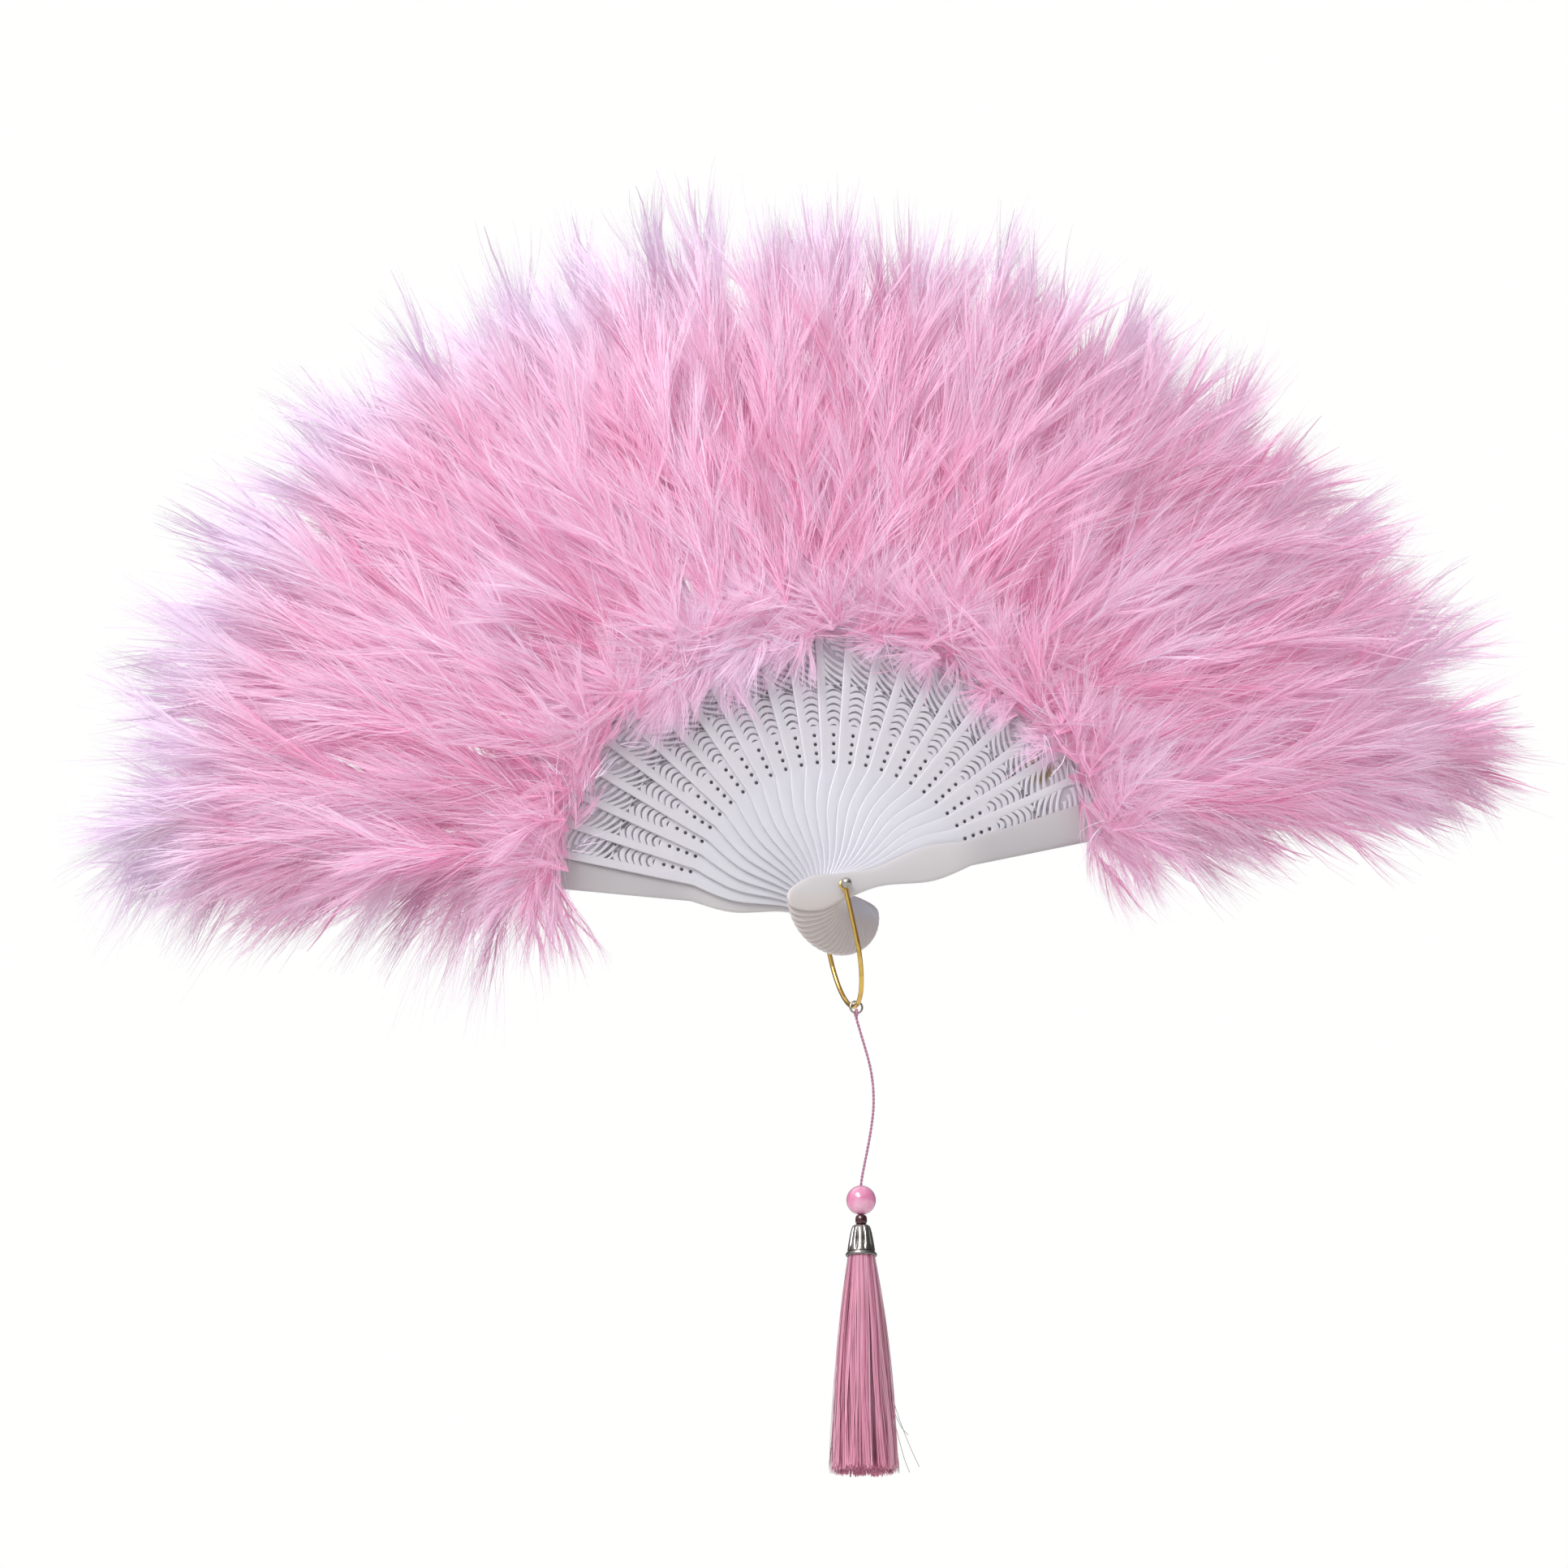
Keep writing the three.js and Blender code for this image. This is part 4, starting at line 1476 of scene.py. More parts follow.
class PlumeTree(Grower):
    """Grows plumes from a stick: shafts that leave its root, with barbs to both sides."""

    habit: BarbHabit = BarbHabit()
    steps: int = 4
    golden: float = 0.618034
    golden_slack: float = 0.4
    taper: float = 0.82
    reach: float = 268 * MM
    reach_ease: float = 10 * MM
    depth_ease: float = 6 * MM
    pale_start: float = 200 * MM
    pale_end: float = 258 * MM
    pale_rim: float = 0.3
    # At the rim the tips are painted paler upwards and darker to the right, as light and shade from the upper
    # left.
    painted_light_up: float = 0.28
    painted_shade_right: float = 0.48
    dye_patch: float = 0.7
    patch_scale: float = 17.0
    tone_map: Triple = (0.02, 0.94, 0.02)
    light_map: Triple = (0.04, 0.9, 0.03)

    def __init__(self) -> None:
        """Builds the tree."""
        super().__init__("plumes", seed=0)
        self.lean = self.value("lean", 0.0)
        self.sag = self.value("sag", (0.0, 0.0, 0.0))
        self.level = self.sag.cross((0.0, 1.0, 0.0))
        kind = {f.name: self.value(f.name, f.default) for f in fields(PlumeKind)}
        shafts, plume = self.shafts(kind)
        points, barb = self.barbs(kind, shafts, plume)
        strips, along, across = self.strips(points, self.steps)
        square = along * along
        bent = barb["start"] + barb["leave"] * along + barb["turn"] * square + barb["wave"] * (square * along)
        bent, distance = self.trimmed(bent)
        place = bent + barb["wide"] * (across * (1.0 - self.taper * square))
        rim = self.ramped(distance, self.pale_start, self.pale_end)
        level, up = bent.dot(self.level) / distance, -bent.dot(self.sag) / distance
        # Painted light and shade: tips that point up get paler and tips that point right get darker.
        pale = self.pale_rim + self.painted_light_up * up - self.painted_shade_right * level
        tone = barb["tone"] + barb["fade"] * along + pale * rim
        held = self.node("ShaderNodeClamp", sockets={"Value": tone, "Min": 0.0, "Max": 1.0})
        bake = self.inset(held, along, self.tone_map), self.inset(barb["light"], across, self.light_map)
        self.finish(strips, place, self.vector(*bake, 0.0), DOWN.material(), barb["facing"])

    def trimmed(self, place: Wire) -> tuple[Wire, Wire]:
        """Draws a place in to the tuft's longest reach and to its front and back.

        Args:
            place: The place, in the stick's own axes.

        Returns:
            The place and its distance from the pivot.
        """
        distance = place.in_plane().length()
        kept = self.math("SMOOTH_MIN", distance, self.reach, self.reach_ease)
        share = kept / distance
        depth = self.math("SMOOTH_MIN", place.axis(1), self.value("back", 1.0), self.depth_ease)
        depth = self.math("SMOOTH_MAX", depth, self.value("front", -1.0), self.depth_ease)
        return self.vector(place.axis(0) * share, depth, place.axis(2) * share), kept

    def shafts(self, kind: dict[str, Wire]) -> tuple[Wire, dict[str, Wire]]:
        """Adds one point for every plume, with its axes and sizes.

        Args:
            kind: The inputs of the plume's kind.

        Returns:
            The points and the fields that they carry.
        """
        points = self.node("GeometryNodePoints", sockets={"Count": kind["plumes"]})
        index = self.node("GeometryNodeInputIndex")
        face = (index % 2.0) * 2.0 - 1.0
        fan = (index * self.golden + self.draw(index, PlumeDraw.FAN, 0.0, self.golden_slack)) % 1.0
        aim = self.lean + kind["spread"] * (2.0 * fan - 1.0)
        lift = face * self.draw(index, PlumeDraw.LIFT, kind["lift_low"], kind["lift_high"])
        roll = self.either(index, PlumeDraw.ROLL, kind["roll"])
        shaft = self.vector(aim.cos() * lift.cos(), lift.sin(), aim.sin() * lift.cos())
        facing = self.vector(-(aim.cos() * lift.sin()), lift.cos(), -(aim.sin() * lift.sin())) * face
        beside = shaft.cross(facing)
        normal = facing * roll.cos() + beside * roll.sin()
        across = beside * roll.cos() - facing * roll.sin()
        curl = self.either(index, PlumeDraw.CURL, kind["curl"])
        station = (index + self.draw(index, PlumeDraw.STATION)) / kind["plumes"]
        root = self.vector(
            kind["root_low"] + (kind["root_high"] - kind["root_low"]) * station,
            face * self.draw(index, PlumeDraw.DEPTH, kind["depth_low"], kind["depth_high"]),
            self.either(index, PlumeDraw.ASIDE, kind["root_half"]))
        return self.keep(
            points, root=root, shaft=shaft, normal=normal, across=across,
            bend=across * curl - facing * kind["settle"] + self.sag * kind["droop"],
            long=self.draw(index, PlumeDraw.LENGTH, kind["length_low"], kind["length_high"]),
            number=index * 1.0,
            shade=self.either(index, PlumeDraw.SHADE, kind["swing"]))

    def barbs(
        self, kind: dict[str, Wire], shafts: Wire, plume: dict[str, Wire]
    ) -> tuple[Wire, dict[str, Wire]]:
        """Adds one point for every barb, with the curve that it follows.

        Args:
            kind: The inputs of the plume's kind.
            shafts: The plumes' points.
            plume: The fields that they carry.

        Returns:
            The points and the fields that they carry.
        """
        habit = self.habit
        sockets = {"Geometry": shafts, "Amount": kind["barbs"]}
        copies = self.node("GeometryNodeDuplicateElements", {"domain": "POINT"}, sockets)
        count = copies.out("Duplicate Index") * 1.0
        key = plume["number"] * kind["barbs"] + count
        half = count % 2.0
        side = 1.0 - 2.0 * half
        place = (count + self.draw(key, PlumeDraw.PLACE)) / kind["barbs"]
        t = kind["first"] + (1.0 - kind["first"]) * place
        cell = (t * kind["clumps"]).floor()
        bunch = (plume["number"] * kind["clumps"] + cell) * 2.0 + half
        middle = (cell + 0.5) / kind["clumps"]

        def on_shaft(share: Wire) -> Wire:
            """A point on the plume's shaft."""
            return plume["root"] + (plume["shaft"] * share + plume["bend"] * (share * share)) * plume["long"]

        start = on_shaft(t)
        ahead = (plume["shaft"] + plume["bend"] * (2.0 * t)).unit()
        loose = self.draw(key, PlumeDraw.LOOSE) > habit.loose_above
        under = 1.0 - (self.draw(key, PlumeDraw.UNDER) > kind["body"])

        angle = kind["angle_root"] + (kind["angle_tip"] - kind["angle_root"]) * t
        angle = angle * self.draw(bunch, PlumeDraw.BUNCH_ANGLE, *habit.bunch_angle)
        angle = angle + self.either(key, PlumeDraw.ANGLE, habit.own_angle)
        rise = self.draw(bunch, PlumeDraw.BUNCH_RISE, *habit.bunch_rise)
        rise = rise + self.either(key, PlumeDraw.RISE, habit.own_rise)
        rise = rise + habit.loose_rise * loose - habit.under_drop * under
        leave = ahead * angle.cos() + plume["across"] * (side * angle.sin())
        leave = (leave + plume["normal"] * (kind["puff"] * rise)).unit()

        swell = ((habit.swell_start + habit.swell_span * t) * math.pi).sin()
        stray = 1.0 + habit.stray_reach * (self.draw(key, PlumeDraw.STRAY) > habit.stray_above)
        reach = kind["barb"] * (habit.least_reach + habit.swell_reach * swell)
        reach = reach * self.draw(bunch, PlumeDraw.BUNCH_REACH, *habit.bunch_reach)
        reach = reach * self.draw(key, PlumeDraw.REACH, *habit.own_reach) * stray

        sweep = plume["across"] * self.either(bunch, PlumeDraw.SWEEP_ACROSS, habit.sweep_across)
        sweep = sweep + plume["normal"] * self.draw(bunch, PlumeDraw.SWEEP_RISE, *habit.sweep_rise)
        sweep = sweep * (reach * kind["sweep"])
        turn = (ahead - leave) * (reach * kind["hook"]) + self.sag * (reach * kind["droop"])
        turn = turn + (on_shaft(middle) - start) * kind["clump"] + sweep * habit.sweep_out
        axes = (PlumeDraw.WAVE_X, PlumeDraw.WAVE_Y, PlumeDraw.WAVE_Z)
        wave = self.vector(*(self.either(key, axis, habit.wave) for axis in axes))
        wave = wave * (reach * (1.0 + habit.loose_wave * loose)) - sweep * habit.sweep_back

        flat = plume["normal"] + plume["across"] * self.either(key, PlumeDraw.TURNED, habit.turned)
        width = kind["width"] * self.draw(key, PlumeDraw.WIDTH, *habit.own_width)
        wide = leave.cross(flat).unit() * (width * (1.0 + habit.under_width * under))

        tone = kind["tone"] + plume["shade"] + habit.tip_tone * t
        tone = tone + self.either(bunch, PlumeDraw.BUNCH_TONE, habit.bunch_tone)
        tone = tone + habit.loose_tone * loose * (1.0 - under) - habit.under_tone * under
        tone = tone + self.dye_patch * (self.patch(start) - 0.5)

        tilt = self.either(bunch, PlumeDraw.BUNCH_TILT, habit.bunch_tilt)
        tilt = tilt + self.either(key, PlumeDraw.TILT, habit.own_tilt)
        rounding = kind["rounding"] + self.either(bunch, PlumeDraw.BUNCH_ROUNDING, habit.bunch_rounding)
        facing = plume["normal"] + plume["across"] * tilt + ahead * rounding + self.sag * kind["underside"]
        return self.keep(
            copies, start=start, leave=leave * reach, turn=turn, wave=wave, wide=wide, tone=tone,
            fade=kind["fade"] * 1.0, facing=facing.unit(), light=self.draw(key, PlumeDraw.LIGHT))

    def patch(self, place: Wire) -> Wire:
        """Uneven dye in wide patches that run on from tuft to tuft."""
        spot = self.vector(place.dot(self.level), 0.0, place.dot(self.sag))
        return self.noise(self.patch_scale, 1.0, spot)


@dataclass
class Feathers:
    """The tufts: tiers of soft plumes from the rim inwards, with fluff at the root."""

    rim: PlumeKind = PlumeKind()
    outer: PlumeKind = PlumeKind(
        plumes=9, barbs=174, root_low=120 * MM, root_high=154 * MM, depth_low=3 * MM, depth_high=8 * MM,
        spread=math.radians(11), lift_low=math.radians(0), lift_high=math.radians(9),
        length_low=40 * MM, length_high=62 * MM, curl=0.28, sweep=0.31, rounding=0.35, tone=0.15, swing=0.16)
    inner: PlumeKind = PlumeKind(
        plumes=9, barbs=160, root_low=99 * MM, root_high=122 * MM, depth_low=5 * MM, depth_high=10 * MM,
        spread=math.radians(21), lift_low=math.radians(1), lift_high=math.radians(11),
        length_low=28 * MM, length_high=50 * MM, curl=0.36, barb=32 * MM, puff=0.4, sweep=0.36,
        rounding=0.15, tone=0.12, swing=0.16)
    fluff: PlumeKind = PlumeKind(
        plumes=15, barbs=105, root_low=90 * MM, root_high=102 * MM, root_half=7 * MM,
        depth_low=4 * MM, depth_high=9 * MM, spread=math.radians(88),
        lift_low=math.radians(-4), lift_high=math.radians(16), length_low=8 * MM, length_high=22 * MM,
        curl=0.5, settle=0.1, clumps=6.0, clump=0.35, barb=24 * MM, angle_root=math.radians(58), body=0.03,
        angle_tip=math.radians(30), puff=0.45, sweep=0.5, width=0.19 * MM, rounding=0.4, fade=0.38,
        tone=0.14, swing=0.14)
    overhang: PlumeKind = PlumeKind(
        plumes=10, barbs=100, root_low=90 * MM, root_high=100 * MM, root_half=7 * MM,
        depth_low=4 * MM, depth_high=8 * MM, spread=math.radians(42),
        lift_low=math.radians(-4), lift_high=math.radians(8), length_low=7 * MM, length_high=15 * MM,
        curl=0.5, settle=0.2, clumps=6.0, clump=0.3, barb=20 * MM, angle_root=math.radians(56), body=0.0,
        angle_tip=math.radians(30), puff=0.4, sweep=0.5, width=0.18 * MM, rounding=0.3, fade=0.4,
        tone=0.22, swing=0.12)
    spill: PlumeKind = replace(
        overhang, plumes=10, barbs=54, spread=math.radians(62), length_low=2 * MM, length_high=7 * MM,
        clump=0.15, barb=13 * MM, width=0.14 * MM, tone=0.26)
    # The curtains' low tone keeps them deep pink, partly as painted shade on the fan's underside.
    curtain: PlumeKind = PlumeKind(
        plumes=36, barbs=70, root_low=98 * MM, root_high=226 * MM, root_half=4 * MM,
        depth_low=0.5 * MM, depth_high=8 * MM, spread=math.radians(22), length_low=10 * MM,
        length_high=24 * MM, curl=0.3, droop=0.12, clumps=8.0, barb=36 * MM, sweep=0.2, body=0.0,
        width=0.24 * MM, rounding=0.7, underside=1.1, fade=0.45, tone=0.06, swing=0.12)
    front_curtain: PlumeKind = replace(curtain, length_high=20 * MM, barb=31 * MM, droop=0.08)
    guard_rim: PlumeKind = replace(rim, barb=34 * MM, fade=0.4, underside=0.4)
    guard_outer: PlumeKind = replace(outer, barb=34 * MM, fade=0.4, underside=0.4)
    guard_fluff: PlumeKind = replace(fluff, spread=math.radians(45))
    wisps: PlumeKind = PlumeKind(
        plumes=6, barbs=18, root_low=98 * MM, root_high=134 * MM, depth_low=1 * MM, depth_high=9 * MM,
        spread=math.radians(24), length_low=14 * MM, length_high=26 * MM, curl=0.4, droop=0.3,
        barb=38 * MM, sweep=0.3, width=0.2 * MM, body=0.0, fade=0.6, tone=0.35, swing=0.1)
    threads: PlumeKind = PlumeKind(
        plumes=3, barbs=4, root_low=90 * MM, root_high=104 * MM, root_half=8 * MM,
        depth_low=8 * MM, depth_high=11 * MM, spread=math.radians(150), length_low=3 * MM,
        length_high=7 * MM, curl=0.4, clumps=3.0, barb=14 * MM, puff=0.4, sweep=0.6, width=0.3 * MM,
        body=0.0, tone=1.1, swing=0.0)
    guard_lean: float = math.radians(11)
    front_curtain_lean: float = math.radians(-29)
    rear_curtain_lean: float = math.radians(38)
    wisp_lean: float = math.radians(62)
    overhang_lean: float = math.radians(118)
    overhang_layers: range = range(12, 18)
    spill_lean: float = math.radians(160)
    spill_layers: range = range(3, 10)
    seed: int = 11
    layer_seeds: int = 1000
    kind_seeds: int = 100
    flattened: float = 0.35
    half_depth: float = 42.3 * MM
    quill_layer: int = 4
    quill_mm: tuple[Triple, ...] = (
        (70.4, -17.6, 67.5), (75.2, -18.8, 63.6), (78.4, -19.3, 56.5), (77.6, -19.2, 48.4),
        (73.2, -18.7, 42.6))
    quill_radius: float = 0.24 * MM
    quill_steps: int = 8

    def leans(self, layer: int) -> list[tuple[PlumeKind, float]]:
        """The kinds of plume on a stick, each with how far its plumes lean towards +Z.

        Args:
            layer: The stick's layer.

        Returns:
            Each kind with its lean in radians.
        """
        tiers = [(kind, 0.0) for kind in (self.rim, self.outer, self.inner, self.fluff, self.threads)]
        side = {Place.FRONT_GUARD: -1.0, Place.REAR_GUARD: 1.0}.get(STACK.place(layer), 0.0)
        if side:
            tiers += [(kind, side * self.guard_lean) for kind in (self.guard_rim, self.guard_outer)]
            tiers.append((self.guard_fluff, 0.0))
        if side < 0:
            tiers.append((self.front_curtain, self.front_curtain_lean))
        if side > 0:
            tiers += [(self.curtain, self.rear_curtain_lean), (self.wisps, self.wisp_lean)]
        if layer in self.overhang_layers:
            tiers.append((self.overhang, self.overhang_lean))
        if layer in self.spill_layers:
            tiers.append((self.spill, self.spill_lean))
        return tiers

    def build(self) -> None:
        """Grows every tuft and fits it to its stick."""
        tree = PlumeTree()
        for layer in range(STACK.rear + 1):
            body, depth, turn = STACK.body(layer), STACK.depth(layer), STACK.angle(layer)
            sag = (-math.sin(turn), 0.0, -math.cos(turn))
            limits = {"front": -self.half_depth - depth, "back": self.half_depth - depth}
            rounds = []
            for number, (kind, lean) in enumerate(self.leans(layer)):
                sizes = {f.name: getattr(kind, f.name) for f in fields(kind)}
                seed = self.seed + self.layer_seeds * layer + self.kind_seeds * number
                rounds.append({**sizes, **limits, "lean": lean, "sag": sag, "seed": seed})
            mesh = tree.grow(f"{body}_plumes", rounds)
            mesh.transform(STACK.frame(layer))
            tuft = fit(mesh, f"{body}_plumes", body, "feather_down", [f"{body}_feathers"])
            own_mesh(tuft)
        self.loose_quill()

    def loose_quill(self) -> None:
        """Makes the one curled quill that hangs out of the fluff over the fretwork."""
        line = [tuple(value * MM for value in point) for point in spline(self.quill_mm, self.quill_steps)]
        body = STACK.body(self.quill_layer)
        mesh = tubes("loose_quill", [line], self.quill_radius, sides=1)
        fit(mesh, "loose_quill", body, "feather_down", [f"{body}_feathers"], QUILL)


@dataclass
class Ribbon:
    """The tape that links the sticks, one stretch from each stick to the next."""

    inner: float = 98.6 * MM
    width: float = 3.4 * MM
    thickness: float = 0.3 * MM
    slip_half: float = 2.2 * MM
    steps: int = 8

    def build(self) -> None:
        """Makes every stretch and fits it to its stick."""
        slip_angle = math.atan(self.slip_half / self.inner)
        climb = STACK.layer_pitch * slip_angle / math.radians(STACK.pitch_deg)
        behind = STACK.stick_thickness / 2 + STACK.fit_gap + self.thickness / 2 + climb
        last = STACK.rear - (slip_angle + STACK.fit_gap / self.inner) / math.radians(STACK.pitch_deg)
        for layer in range(STACK.rear):
            end = min(layer + 1.0, last)
            rings = [self.ring(layer + (end - layer) * i / self.steps, behind) for i in range(self.steps + 1)]
            body = STACK.body(layer)
            mesh = skinned(f"{body}_tape", rings)
            self.map_weave(mesh)
            fit(mesh, f"{body}_tape", body, "white_tape", ["linking_ribbon"], TAPE)

    def ring(self, layer: float, behind: float) -> list[Triple]:
        """The tape's section at a layer, which need not be whole.

        Args:
            layer: The layer.
            behind: How far the tape lies behind it.

        Returns:
            The section's corners.
        """
        turn = STACK.angle(layer)
        depth = (layer - STACK.rear / 2) * STACK.layer_pitch + behind
        points = []
        for out, face in ((0, -1), (1, -1), (1, 1), (0, 1)):
            radius = self.inner + out * self.width
            through = depth + face * self.thickness / 2
            points.append((radius * math.cos(turn), through, radius * math.sin(turn)))
        return points

    def map_weave(self, mesh: bpy.types.Mesh) -> None:
        """Gives the tape a map with the way along it and the way across it in metres.

        Args:
            mesh: The tape's mesh.
        """
        layer = mesh.uv_layers.new(name=WEAVE_MAP)
        for corner in mesh.loops:
            x, _, z = mesh.vertices[corner.vertex_index].co
            layer.data[corner.index].uv = (math.atan2(z, x) * self.inner, math.hypot(x, z))


@dataclass
class Rivet:
    """The ball-headed rivet and the wire bail that swings on it."""

    post: float = 0.8 * MM
    ball: float = 1.9 * MM
    seat: float = 1.5 * MM
    socket: float = 1.6 * MM
    wire: float = 0.8 * MM
    eye_wall: float = 0.9 * MM
    drop: float = 38.6 * MM
    straight: float = 18 * MM
    tilt_deg: float = 12.5
    sides: int = 40
    ball_steps: int = 18
    bow_marks: int = 16
    bow_steps: int = 10
    eye_steps: int = 28

    @property
    def eye_depth(self) -> float:
        """The depth of the bail's eyes."""
        half = (STACK.inner_sticks * STACK.layer_pitch + STACK.fit_gap) / 2 + STACK.guard_thickness
        return half + STACK.fit_gap + self.wire

    @property
    def seat_depth(self) -> float:
        """The depth of the balls' flat seats."""
        return self.eye_depth + self.wire + STACK.fit_gap

    def ball_profile(self) -> list[Pair]:
        """The ball from its seat to its pole, as radii and depths.

        Returns:
            The profile.
        """
        seat_angle = math.asin(self.seat / self.ball)
        centre = self.seat_depth + self.ball * math.cos(seat_angle)
        shares = (1 - i / self.ball_steps for i in range(self.ball_steps + 1))
        turns = ((math.pi - seat_angle) * share for share in shares)
        return [(max(self.ball * math.sin(t), ON_AXIS), centre + self.ball * math.cos(t)) for t in turns]

    def build(self) -> None:
        """Makes the post, the front ball with its seat, and the bail."""
        back = Matrix.Rotation(-math.pi / 2, 4, "X")
        front_end = -(self.seat_depth + self.socket - STACK.fit_gap)
        shank = [(ON_AXIS, front_end), (self.post, front_end), (self.post, self.seat_depth)]
        post = turned("rivet_shank", shank + self.ball_profile(), self.sides)
        post.transform(back)
        fit(post, "rivet_shank", "rear_guard", "bright_steel", ["rivet_post"], STEEL)
        floor = self.seat_depth + self.socket
        bore = self.post + STACK.fit_gap
        socket = [(ON_AXIS, floor), (bore, floor), (bore, self.seat_depth)]
        profile = [(radius, -depth) for radius, depth in socket + self.ball_profile()]
        ball = turned("rivet_head", profile, self.sides)
        ball.transform(back)
        fit(ball, "rivet_head", "rear_guard", "bright_steel", ["rivet_ball"], STEEL)
        self.bail()

    def bail(self) -> None:
        """Makes the bail: a U of wire with an eye at each end."""
        bore = self.post + STACK.fit_gap
        eye = bore + self.eye_wall / 2
        marks = [(0.0, -self.eye_depth, -eye)]
        for i in range(self.bow_marks + 1):
            turn = math.pi * (i / self.bow_marks - 0.5)
            drop = self.straight + (self.drop - self.straight) * math.cos(turn)
            marks.append((0.0, self.eye_depth * math.sin(turn), -drop))
        marks.append((0.0, self.eye_depth, -eye))
        wire = tubes("wire_bail_bow", [spline(marks, self.bow_steps)], self.wire, sides=6)
        eyes = []
        for side in (-1, 1):
            turns = circle(self.eye_steps)
            eyes.append([(eye * math.sin(t), side * self.eye_depth, -eye * math.cos(t)) for t in turns])
        loops = tubes("wire_bail_eyes", eyes, self.eye_wall / 2, cyclic=True, sides=3)
        lean = Matrix.Rotation(-math.radians(self.tilt_deg), 4, "Y")
        for mesh, name in ((wire, "wire_bail_bow"), (loops, "wire_bail_eyes")):
            mesh.transform(lean)
            fit(mesh, name, "bail", "gilt_wire", ["wire_bail"], GILT)


@dataclass
class Tassel:
    """The jump ring, the cord and what is strung on it, down to the hem of the skirt."""

    rivet: Rivet = field(default_factory=Rivet)
    ring_wire: float = 0.35 * MM
    ring_start_deg: float = 94
    ring_turn_deg: float = 352
    ring_steps: int = 40
    cord_radius: float = 0.5 * MM
    ply_radius: float = 0.28 * MM
    lay: float = 2.6 * MM
    cord_steps: int = 12
    loop_steps: int = 28
    knot: float = 1.4 * MM
    knot_steps: int = 48
    knot_height: float = 0.6
    bead: float = 5 * MM
    bead_steps: int = 28
    seed: float = 2 * MM
    seed_height: float = 3.1 * MM
    seed_steps: int = 20
    seed_sides: int = 32
    cap_height: float = 10.6 * MM
    cap_wall: float = 0.8 * MM
    cap_profile_mm: tuple[Pair, ...] = (
        (2.4, 0.0), (2.95, -0.35), (3.3, -1.1), (3.7, -2.6), (4.1, -4.6), (4.45, -6.6), (4.7, -8.4),
        (4.72, -8.9), (4.5, -9.1), (4.5, -9.3), (5.1, -9.5), (5.3, -9.9), (5.3, -10.3), (5.15, -10.6))
    cap_sides: int = 144
    flutes: int = 10
    flute_depth: float = 0.2
    flute_end: float = 0.84
    flute_rise: float = 0.6
    bore_sides: int = 8
    tucked_in: float = 2 * MM
    skirt_length: float = 72.5 * MM
    skirt_hem: float = 10.6 * MM
    threads: int = 2200
    stray_mm: tuple[tuple[Pair, ...], ...] = (
        ((6.4, -104.0), (8.4, -120.0), (10.6, -136.0), (14.0, -150.0), (16.4, -156.6)),
        ((6.6, -110.0), (8.8, -124.0), (12.0, -136.0), (16.2, -147.0), (19.8, -154.6)),
        ((7.0, -114.0), (9.2, -130.0), (11.4, -144.0), (12.8, -157.0)),
        ((7.6, -122.0), (10.4, -134.0), (13.4, -141.0), (16.0, -144.0)))
    stray_radius: float = 0.08 * MM
    stray_steps: int = 6
    cord_mm: tuple[Pair, ...] = (
        (0.3, -2.6), (1.0, -5.0), (2.2, -9.0), (3.4, -13.0), (4.5, -17.0), (5.3, -21.0), (5.8, -25.0),
        (6.0, -29.0), (5.9, -33.0), (5.5, -37.0), (4.9, -41.0), (4.2, -45.0), (3.4, -49.0), (2.6, -53.0),
        (1.9, -56.5), (1.5, -59.5))

    def __post_init__(self) -> None:
        """Works out the places down the tassel, as the frame has them."""
        gap = STACK.fit_gap
        rivet = self.rivet
        self.loop_radius = self.ring_wire + gap + self.cord_radius
        held = 2 * (rivet.wire + gap) + self.loop_radius + self.cord_radius
        ring_inner = (held - self.ring_wire) / 2
        self.ring_radius = ring_inner + self.ring_wire
        lean = math.radians(rivet.tilt_deg)
        foot = Vector((rivet.drop * math.sin(lean), 0, -rivet.drop * math.cos(lean)))
        self.ring_centre = foot - Vector((0, 0, ring_inner - rivet.wire - gap))
        self.loop_centre = self.ring_centre - Vector((0, 0, self.ring_radius))
        self.hang_x, strung_top = (value * MM for value in self.cord_mm[-1])
        self.bore = (self.cord_radius + gap) / math.cos(math.pi / self.bore_sides)
        bead_half = math.sqrt(self.bead ** 2 - self.bore ** 2)
        self.bead_z = strung_top - gap - bead_half
        self.seed_top = self.bead_z - bead_half - gap
        self.cap_top = self.seed_top - self.seed_height - gap
        self.cap_mouth = self.cap_top - self.cap_height
        self.knot_z = self.cap_top - self.cap_wall - gap - self.knot

    def strung(self, mesh: bpy.types.Mesh, height: float) -> bpy.types.Mesh:
        """Moves a turned mesh to its height on the hanging cord."""
        mesh.transform(Matrix.Translation(self.loop_centre + Vector((self.hang_x, 0, height))))
        return mesh

    def build(self) -> None:
        """Makes the ring, the strung pieces, the skirt and the cord."""
        self.jump_ring()
        on_cord = [self.round_bead(), self.seed_bead(), self.cap()]
        self.skirt()
        self.cord()

    def jump_ring(self) -> None:
        """Makes the jump ring, with the fine gap where it was closed."""
        line = []
        for i in range(self.ring_steps + 1):
            turn = math.radians(self.ring_start_deg + self.ring_turn_deg * i / self.ring_steps)
            out = Vector((math.cos(turn), 0, math.sin(turn)))
            line.append(tuple(self.ring_centre + out * self.ring_radius))
        mesh = tubes("jump_ring_wire", [line], self.ring_wire, sides=3)
        fit(mesh, "jump_ring_wire", "ring", "bright_steel", ["jump_ring"], STEEL)

